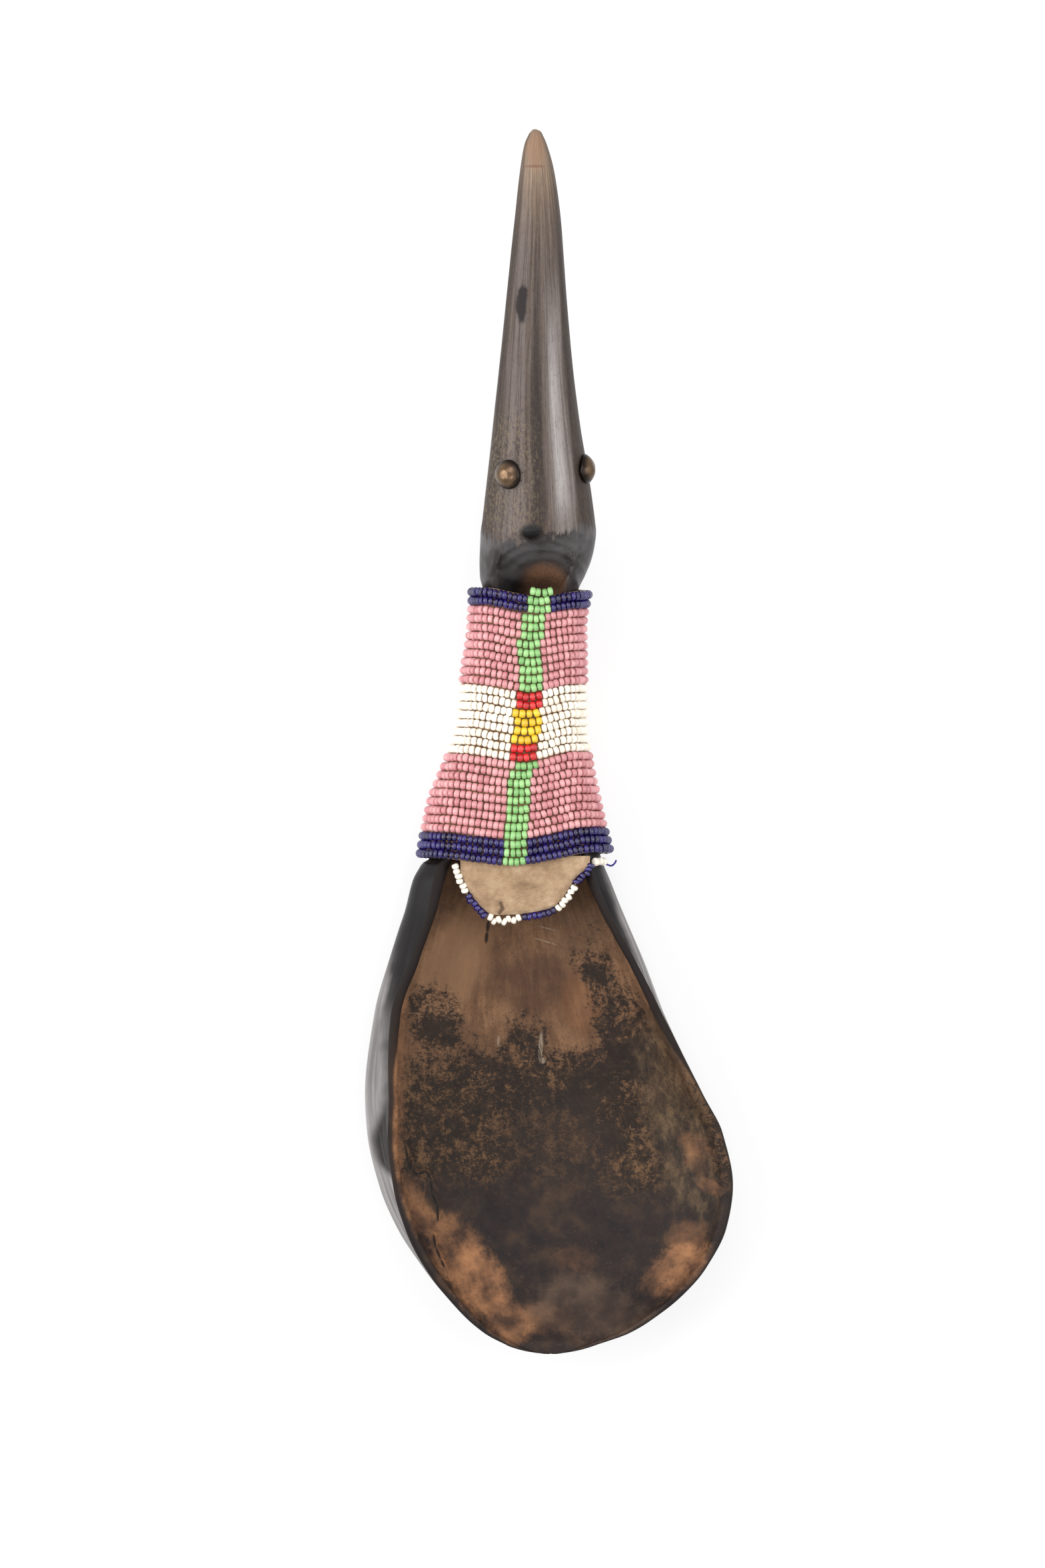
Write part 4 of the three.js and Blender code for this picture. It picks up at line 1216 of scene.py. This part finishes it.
    rough = s.plus(s.range(on_handle, 0, 1, 0.34, 0.44), s.centred(fine, 0.3))
    rough = s.math("SUBTRACT", rough, s.times(pit, 0.2), True)
    normal = s.bump(fine, s.range(on_handle, 0, 1, 0.15, 0.4), 0.0004)
    normal = s.bump(s.noise(7, 3, 0.6, at=streak_space), s.range(on_handle, 0, 1, 0.08, 0.25),
                    0.0003, normal)
    normal = s.bump(speck, s.range(on_handle, 0, 1, 0.04, 0.2), 0.0002, normal)
    return s.finish(Base_Color=base, Roughness=rough, Normal=normal)


# Places in the bowl: across, along, half width, half length, turn, and strength where it varies.
SOOT = [
    (-21.5, -33, 7, 8, 0.0, 0.13), (-18.5, -47, 13, 14, 0.0, 0.025), (-2, -35.5, 7, 5, 0.5, 0.1),
    (2, -46, 20, 8, 0.0, 0.05), (12.5, -20, 6, 8, 0.0, 0.08), (18, -33, 7, 15, -0.38, 0.13),
    (-19, -42, 10, 9, 0.0, 0.04), (-1, -42, 13, 7, 0.0, 0.045), (15, -38, 8, 9, 0.0, 0.025),
    (16, -50, 9, 13, 0.0, 0.06),
]
ORANGE = [
    (-24.5, -75, 3, 9, -0.35, 0.5), (-17, -83, 5.5, 8, -0.5, 0.75), (-12, -90, 5.5, 9, -0.6, 0.85),
    (-5.5, -98, 4.5, 7, -0.8, 0.7), (30.5, -87, 9, 4.5, -0.6, 0.75), (33, -81, 5, 5, 0.3, 0.3),
    (-28.9, -48, 1.8, 26, 0.02, 0.6), (37.5, -69.5, 3.6, 1.6, 0.5, 0.55),
    (34.5, -61, 4, 3, 0.5, 0.3), (9, -85, 5, 3.2, 0.2, 0.2), (3, -98, 9, 4, 0.05, 0.25),
    (-20, -81, 3.5, 6, -0.4, 0.4), (35.5, -63.5, 4, 4, 0.3, 0.35),
]
SCRATCHES = [
    (-7.4, -38.8, 0.3, 1.4, 0), (1.6, -39.9, 0.5, 3.4, 0.05), (2.1, -42.9, 0.6, 0.7, 0),
    (2.6, -17.4, 3, 0.16, 0.3), (3, -14.6, 2.2, 0.12, 0.25),
]


def bowl_material():
    """The hollow: brown, black mottling, a smooth purplish end with orange, and thin cracks."""
    s = Shader("horn_bowl", IOR=1.5, Specular_IOR_Level=0.13)
    (_, along, _), streak_space, fine, wobble, wide = horn_parts(s)
    grit = s.noise(1900, 4, 0.7)
    ways = s.plus(s.times(s.noise(1.6, 5, 0.7, 0.3, at=streak_space), 0.45),
                  s.times(s.noise(130, 5, 0.7), 0.55))
    warm = s.over(
        s.ramp(ways, (0.36, 78, 56, 42), (0.5, 101, 74, 54), (0.62, 126, 94, 69)),
        (s.range(fine, 0.5, 0.7, 0, 0.35), (124, 90, 60)),
        (s.range(grit, 0.5, 0.7, 0, 0.45), (56, 41, 32)),
        (s.patch(-17, -22, 6.5, 18, wide, 0.35), 0.6, (138, 104, 77)),
        (s.patch(0, -27, 11, 7, wide), 0.5, (60, 41, 33)),
        (s.patch(9, -14, 7, 8, wide, -0.3), 0.3, (80, 62, 48)),
        (s.patch(10, -31, 5, 8, wide), 0.35, (112, 74, 48)))

    # Soot: specks and flecks that grow together towards the end.
    clumps = s.noise(420, 7, 0.8, 0.4, at=s.stretched(s.here, 1.0, 0.8, 1.0))
    crumbs = s.noise(950, 5, 0.8, 0.5, at=s.stretched(s.here, 0.85, 1.3, 1.0))
    down = s.range(s.plus(along, s.times(wide, 12)), -30, -60)
    bias = s.minus(s.times(down, 0.15), 0.125)
    for x, y, width, length, turn, strength in SOOT:
        bias = s.plus(bias, s.times(s.patch(x, y, width, length, wide, turn), strength))
    amount = s.plus(s.plus(s.times(clumps, 0.5), s.times(crumbs, 0.35)), bias)
    amount = s.plus(amount, s.times(s.noise(2300, 3, 0.7), 0.15))
    dark = s.ramp(s.noise(520, 6, 0.8), (0.36, 10, 8, 8), (0.52, 22, 17, 16), (0.68, 52, 40, 31))
    fleck = s.mix(s.range(fine, 0.4, 0.6), (84, 62, 42), (108, 82, 57))

    # Towards the end the soot lies smooth, with a few soft flecks, and orange near the rim.
    soft = s.noise(150, 5, 0.6)
    deep = s.over(s.ramp(soft, (0.35, 27, 22, 23), (0.52, 38, 31, 30), (0.68, 60, 46, 37)),
                  (s.range(crumbs, 0.54, 0.7, 0, 0.45), (84, 63, 45)))
    ragged = s.plus(s.times(wide, 1.2), s.centred(clumps, 1.1))
    rubs = s.noise(420, 6, 0.75, at=s.stretched(s.here, 1.0, 0.45, 1.0))
    orange = s.ramp(soft, (0.34, 84, 60, 46), (0.5, 128, 90, 64), (0.66, 166, 118, 82))
    bowl = s.over(
        warm,
        (s.range(down, 0.1, 0.7, 0, 0.6), fleck),
        (s.range(amount, 0.45, 0.55, 0, 0.92), dark),
        (s.range(s.plus(along, s.times(wide, 14)), -63, -74), 0.94, deep),
        (s.patch(6, -62, 14, 13, wide), 0.6, deep),
        (s.patch(30.5, -57, 7.5, 24, ragged, -0.25), 0.8,
         s.ramp(rubs, (0.38, 34, 28, 25), (0.5, 60, 49, 40), (0.66, 104, 84, 62))),
        *((s.patch(x, y, width, length, ragged, turn), s.range(soft, 0.3, 0.5, 0.55, 1),
           s.range(crumbs, 0.66, 0.5, 0.55, 1), strength, orange)
          for x, y, width, length, turn, strength in ORANGE),
        (s.patch(12, -96, 15, 8, ragged, 0.25), s.range(soft, 0.36, 0.66, 0.2, 0.6), (92, 74, 62)),
        *((s.patch(x, y, width, length, s.times(wobble, 0.5), turn), s.range(fine, 0.35, 0.55),
           0.7, (146, 130, 112)) for x, y, width, length, turn in SCRATCHES),
        (s.range(along, 24, 40), hollow_brown(s, fine)))

    # The dark rim, partly the horn's own dark edge and partly painted shade inside the wall, widest
    # along the left and right walls, and the cracks.
    low = s.range(s.range(along, -30, -52), 0, 1, 0.8, 0.3)
    rim = s.range(s.minus(s.field("inside"), low), 0.2, -0.06)
    rim_shade_band = s.plus(s.field("from_rim"), s.times(wobble, 2), s.times(wide, 3))
    # Painted shade in a band inside the rim, then the rim itself darkened, partly its own dark horn
    # and partly painted shade.
    bowl = s.over(bowl, (s.range(rim_shade_band, 2.6, 1.0), s.range(along, -48, -26), 0.85, (24, 19, 18)),
                  (rim, 0.92, (27, 22, 21)))
    for line in CRACKS:
        width = 0.45 if line is CRACKS[-1] else 0.3
        for (ax, ay), (bx, by) in zip(line, line[1:]):
            half = math.hypot(bx - ax, by - ay) / 2
            turn = math.pi / 2 - math.atan2(by - ay, bx - ax)
            cut = s.patch((ax + bx) / 2, (ay + by) / 2, width, half * 1.15, s.times(wobble, 0.5),
                          turn)
            bowl = s.over(bowl, (cut, 0.9, (16, 12, 11)))

    normal = s.bump(fine, 0.2, 0.0003)
    normal = s.bump(amount, 0.4, 0.0007, normal)
    normal = s.bump(grit, 0.25, 0.0002, normal)
    return s.finish(Base_Color=bowl, Roughness=s.range(amount, 0.4, 0.6, 0.6, 0.48),
                    Normal=normal)


def glass_material(name, dark, light, roughness, glow, coat):
    s = Shader(name, Roughness=roughness, IOR=1.52, Specular_IOR_Level=0.4, Coat_Weight=coat,
               Coat_Roughness=0.1, Subsurface_Weight=glow, Subsurface_Scale=0.0011,
               Subsurface_Radius=(1.0, 0.85, 0.75))
    grime = s.noise(2600, 3, 0.6)
    base = s.over(s.mix(s.field("tone"), dark, light), (s.range(grime, 0.5, 0.75, 0, 0.45), dark))
    return s.finish(Base_Color=base, Normal=s.bump(grime, 0.12, 0.0001))


def hide_material(name, dark, middle, light):
    s = Shader(name, Roughness=0.9, IOR=1.4, Sheen_Weight=0.25, Sheen_Roughness=0.5)
    cloud = s.noise(240, 5, 0.65)
    nap = s.noise(2200, 4, 0.7)
    pores = s.node("ShaderNodeTexVoronoi", {"Vector": s.here, "Scale": 1500.0})
    base = s.over(s.ramp(cloud, (0.3, *dark), (0.5, *middle), (0.7, *light)),
                  (s.range(nap, 0.5, 0.75, 0, 0.5), dark),
                  (s.range(s.field("tear"), 0.3, 0.95, 0, 0.8), (70, 50, 36)))
    normal = s.bump(nap, 0.55, 0.0003)
    normal = s.bump(pores, 0.25, 0.0002, normal)
    normal = s.bump(cloud, 0.4, 0.0008, normal)
    return s.finish(Base_Color=base, Normal=normal)


def brass_material():
    s = Shader("aged_brass", Metallic=0.92, IOR=1.45)
    patina = s.noise(420, 4, 0.6)
    base = s.over(s.mix(s.range(patina, 0.3, 0.7), (112, 90, 69), (80, 64, 52)),
                  (s.range(s.field("outwards"), 0.6, 0.96), (36, 30, 27)))
    return s.finish(Base_Color=base, Roughness=s.range(patina, 0.3, 0.7, 0.17, 0.36),
                    Normal=s.bump(s.noise(1500, 3, 0.6), 0.18, 0.0003))


def fibre_material(name, dark, light, roughness):
    s = Shader(name, Roughness=roughness, IOR=1.45)
    fibres = s.noise(5200, 3, 0.6, at=s.stretched(s.here, 1, 0.35, 1))
    base = s.mix(s.range(fibres, 0.35, 0.65), dark, light)
    return s.finish(Base_Color=base, Normal=s.bump(fibres, 0.5, 0.0002))


# What each glass is like: dark tone, light tone, roughness, glow from inside, coat.
GLASS = {
    "navy": ((15, 8, 54), (38, 25, 100), 0.2, 0.0, 0.3),
    "pink": ((184, 120, 124), (214, 157, 159), 0.36, 0.35, 0.2),
    "white": ((228, 216, 200), (244, 236, 224), 0.36, 0.4, 0.15),
    "green": ((119, 169, 101), (157, 202, 135), 0.32, 0.35, 0.3),
    "red": ((172, 22, 28), (212, 44, 46), 0.3, 0.2, 0.3),
    "yellow": ((204, 165, 28), (234, 200, 54), 0.32, 0.3, 0.3),
}
materials = {
    "horn_skin": skin_material(),
    "horn_bowl": bowl_material(),
    "brass": brass_material(),
    "hide": hide_material("hide_worn", (84, 62, 44), (128, 100, 74), (158, 128, 98)),
    "hide_light": hide_material("hide_flap", (126, 100, 74), (160, 132, 102), (186, 160, 130)),
    "sinew": fibre_material("sinew_fibre", (118, 92, 60), (186, 160, 118), 0.55),
    "thread": fibre_material("thread_fibre", (112, 92, 74), (168, 146, 120), 0.8),
    "thread_blue": fibre_material("blue_thread_fibre", (36, 28, 92), (70, 58, 150), 0.7),
}
for glass, values in GLASS.items():
    materials[glass] = glass_material(f"{glass}_glass_beads", *values)


# The stage, in metres: floor, soft lights, pale world and a camera straight above the spoon.

FLOOR_REACH = 3.0
FLOOR_LEVEL = -0.0002
LAMP_AIM = (0, 0.07, 0.02)
LAMPS = [
    ("left_softbox", (-0.85, 0.1, 0.6), (0.9, 1.1), 12),
    ("right_softbox", (0.95, 0.1, 0.75), (0.8, 1.1), 8),
    ("top_softbox", (0.05, 0.75, 1.15), (0.9, 0.5), 6),
    ("front_softbox", (0.12, -0.35, 1.3), (0.3, 0.3), 3.2),
]
CAMERA_LEVEL = 0.018
CAMERA_DISTANCE = 6.0
SENSOR = 36


def stage():
    scene = bpy.context.scene
    scene.view_settings.view_transform = "Standard"
    scene.world = bpy.data.worlds.new("pale_room")
    scene.world.use_nodes = True
    w = Nodes(scene.world.node_tree)
    background = w.tree.nodes["Background"].inputs
    w.put(background["Color"], (255, 255, 255))
    w.put(background["Strength"], w.node("ShaderNodeMapRange", {
        "Value": w.backdrop_rays(), "To Min": 0.42, "To Max": 1.0}))

    mesh = bpy.data.meshes.new("floor")
    corners = [(x * FLOOR_REACH, y * FLOOR_REACH, 0)
               for x, y in ((-1, -1), (1, -1), (1, 1), (-1, 1))]
    mesh.from_pydata(corners, [], [[0, 1, 2, 3]])
    floor = bpy.data.objects.new("floor", mesh)
    floor.location.z = FLOOR_LEVEL
    scene.collection.objects.link(floor)
    s = Shader("pale_floor", Roughness=0.9, Base_Color=(0.9, 0.9, 0.9, 1))
    glow = s.node("ShaderNodeEmission", {"Color": (255, 255, 255), "Strength": 1.0})
    share = s.times(s.backdrop_rays(), s.range(s.length(s.here), 0.2, 0.55, 0.78, 1.0))
    blend = s.node("ShaderNodeMixShader", {0: share, 1: s.surface.outputs[0], 2: glow})
    s.put(s.tree.nodes["Material Output"].inputs["Surface"], blend)
    mesh.materials.append(s.material)

    for name, location, size, power in LAMPS:
        light = bpy.data.lights.new(name, "AREA")
        light.shape = "RECTANGLE"
        light.size, light.size_y = size
        light.energy = power
        lamp = bpy.data.objects.new(name, light)
        lamp.location = location
        way = Vector(LAMP_AIM) - Vector(location)
        lamp.rotation_euler = way.to_track_quat("-Z", "Y").to_euler()
        scene.collection.objects.link(lamp)

    camera = bpy.data.objects.new("camera", bpy.data.cameras.new("camera"))
    x = (PHOTO_SIZE[0] / 2 - ORIGIN_PIXEL[0]) / PIXELS_PER_MM + SHIFT[0]
    y = (ORIGIN_PIXEL[1] - PHOTO_SIZE[1] / 2) / PIXELS_PER_MM + SHIFT[1]
    camera.location = (x * MM, y * MM, CAMERA_LEVEL + CAMERA_DISTANCE)
    camera.data.sensor_fit = "VERTICAL"
    camera.data.sensor_height = SENSOR
    camera.data.lens = SENSOR * CAMERA_DISTANCE / (PHOTO_SIZE[1] / PIXELS_PER_MM * MM)
    camera.data.clip_end = 50
    scene.collection.objects.link(camera)
    scene.camera = camera


stage()
horn_piece()
for eye in EYE_FROM_NECK:
    tack(eye)
hide_sleeve()
sleeve_beads()
seam_sinew()
hide_tongue()
tongue_beads()
end_strand()
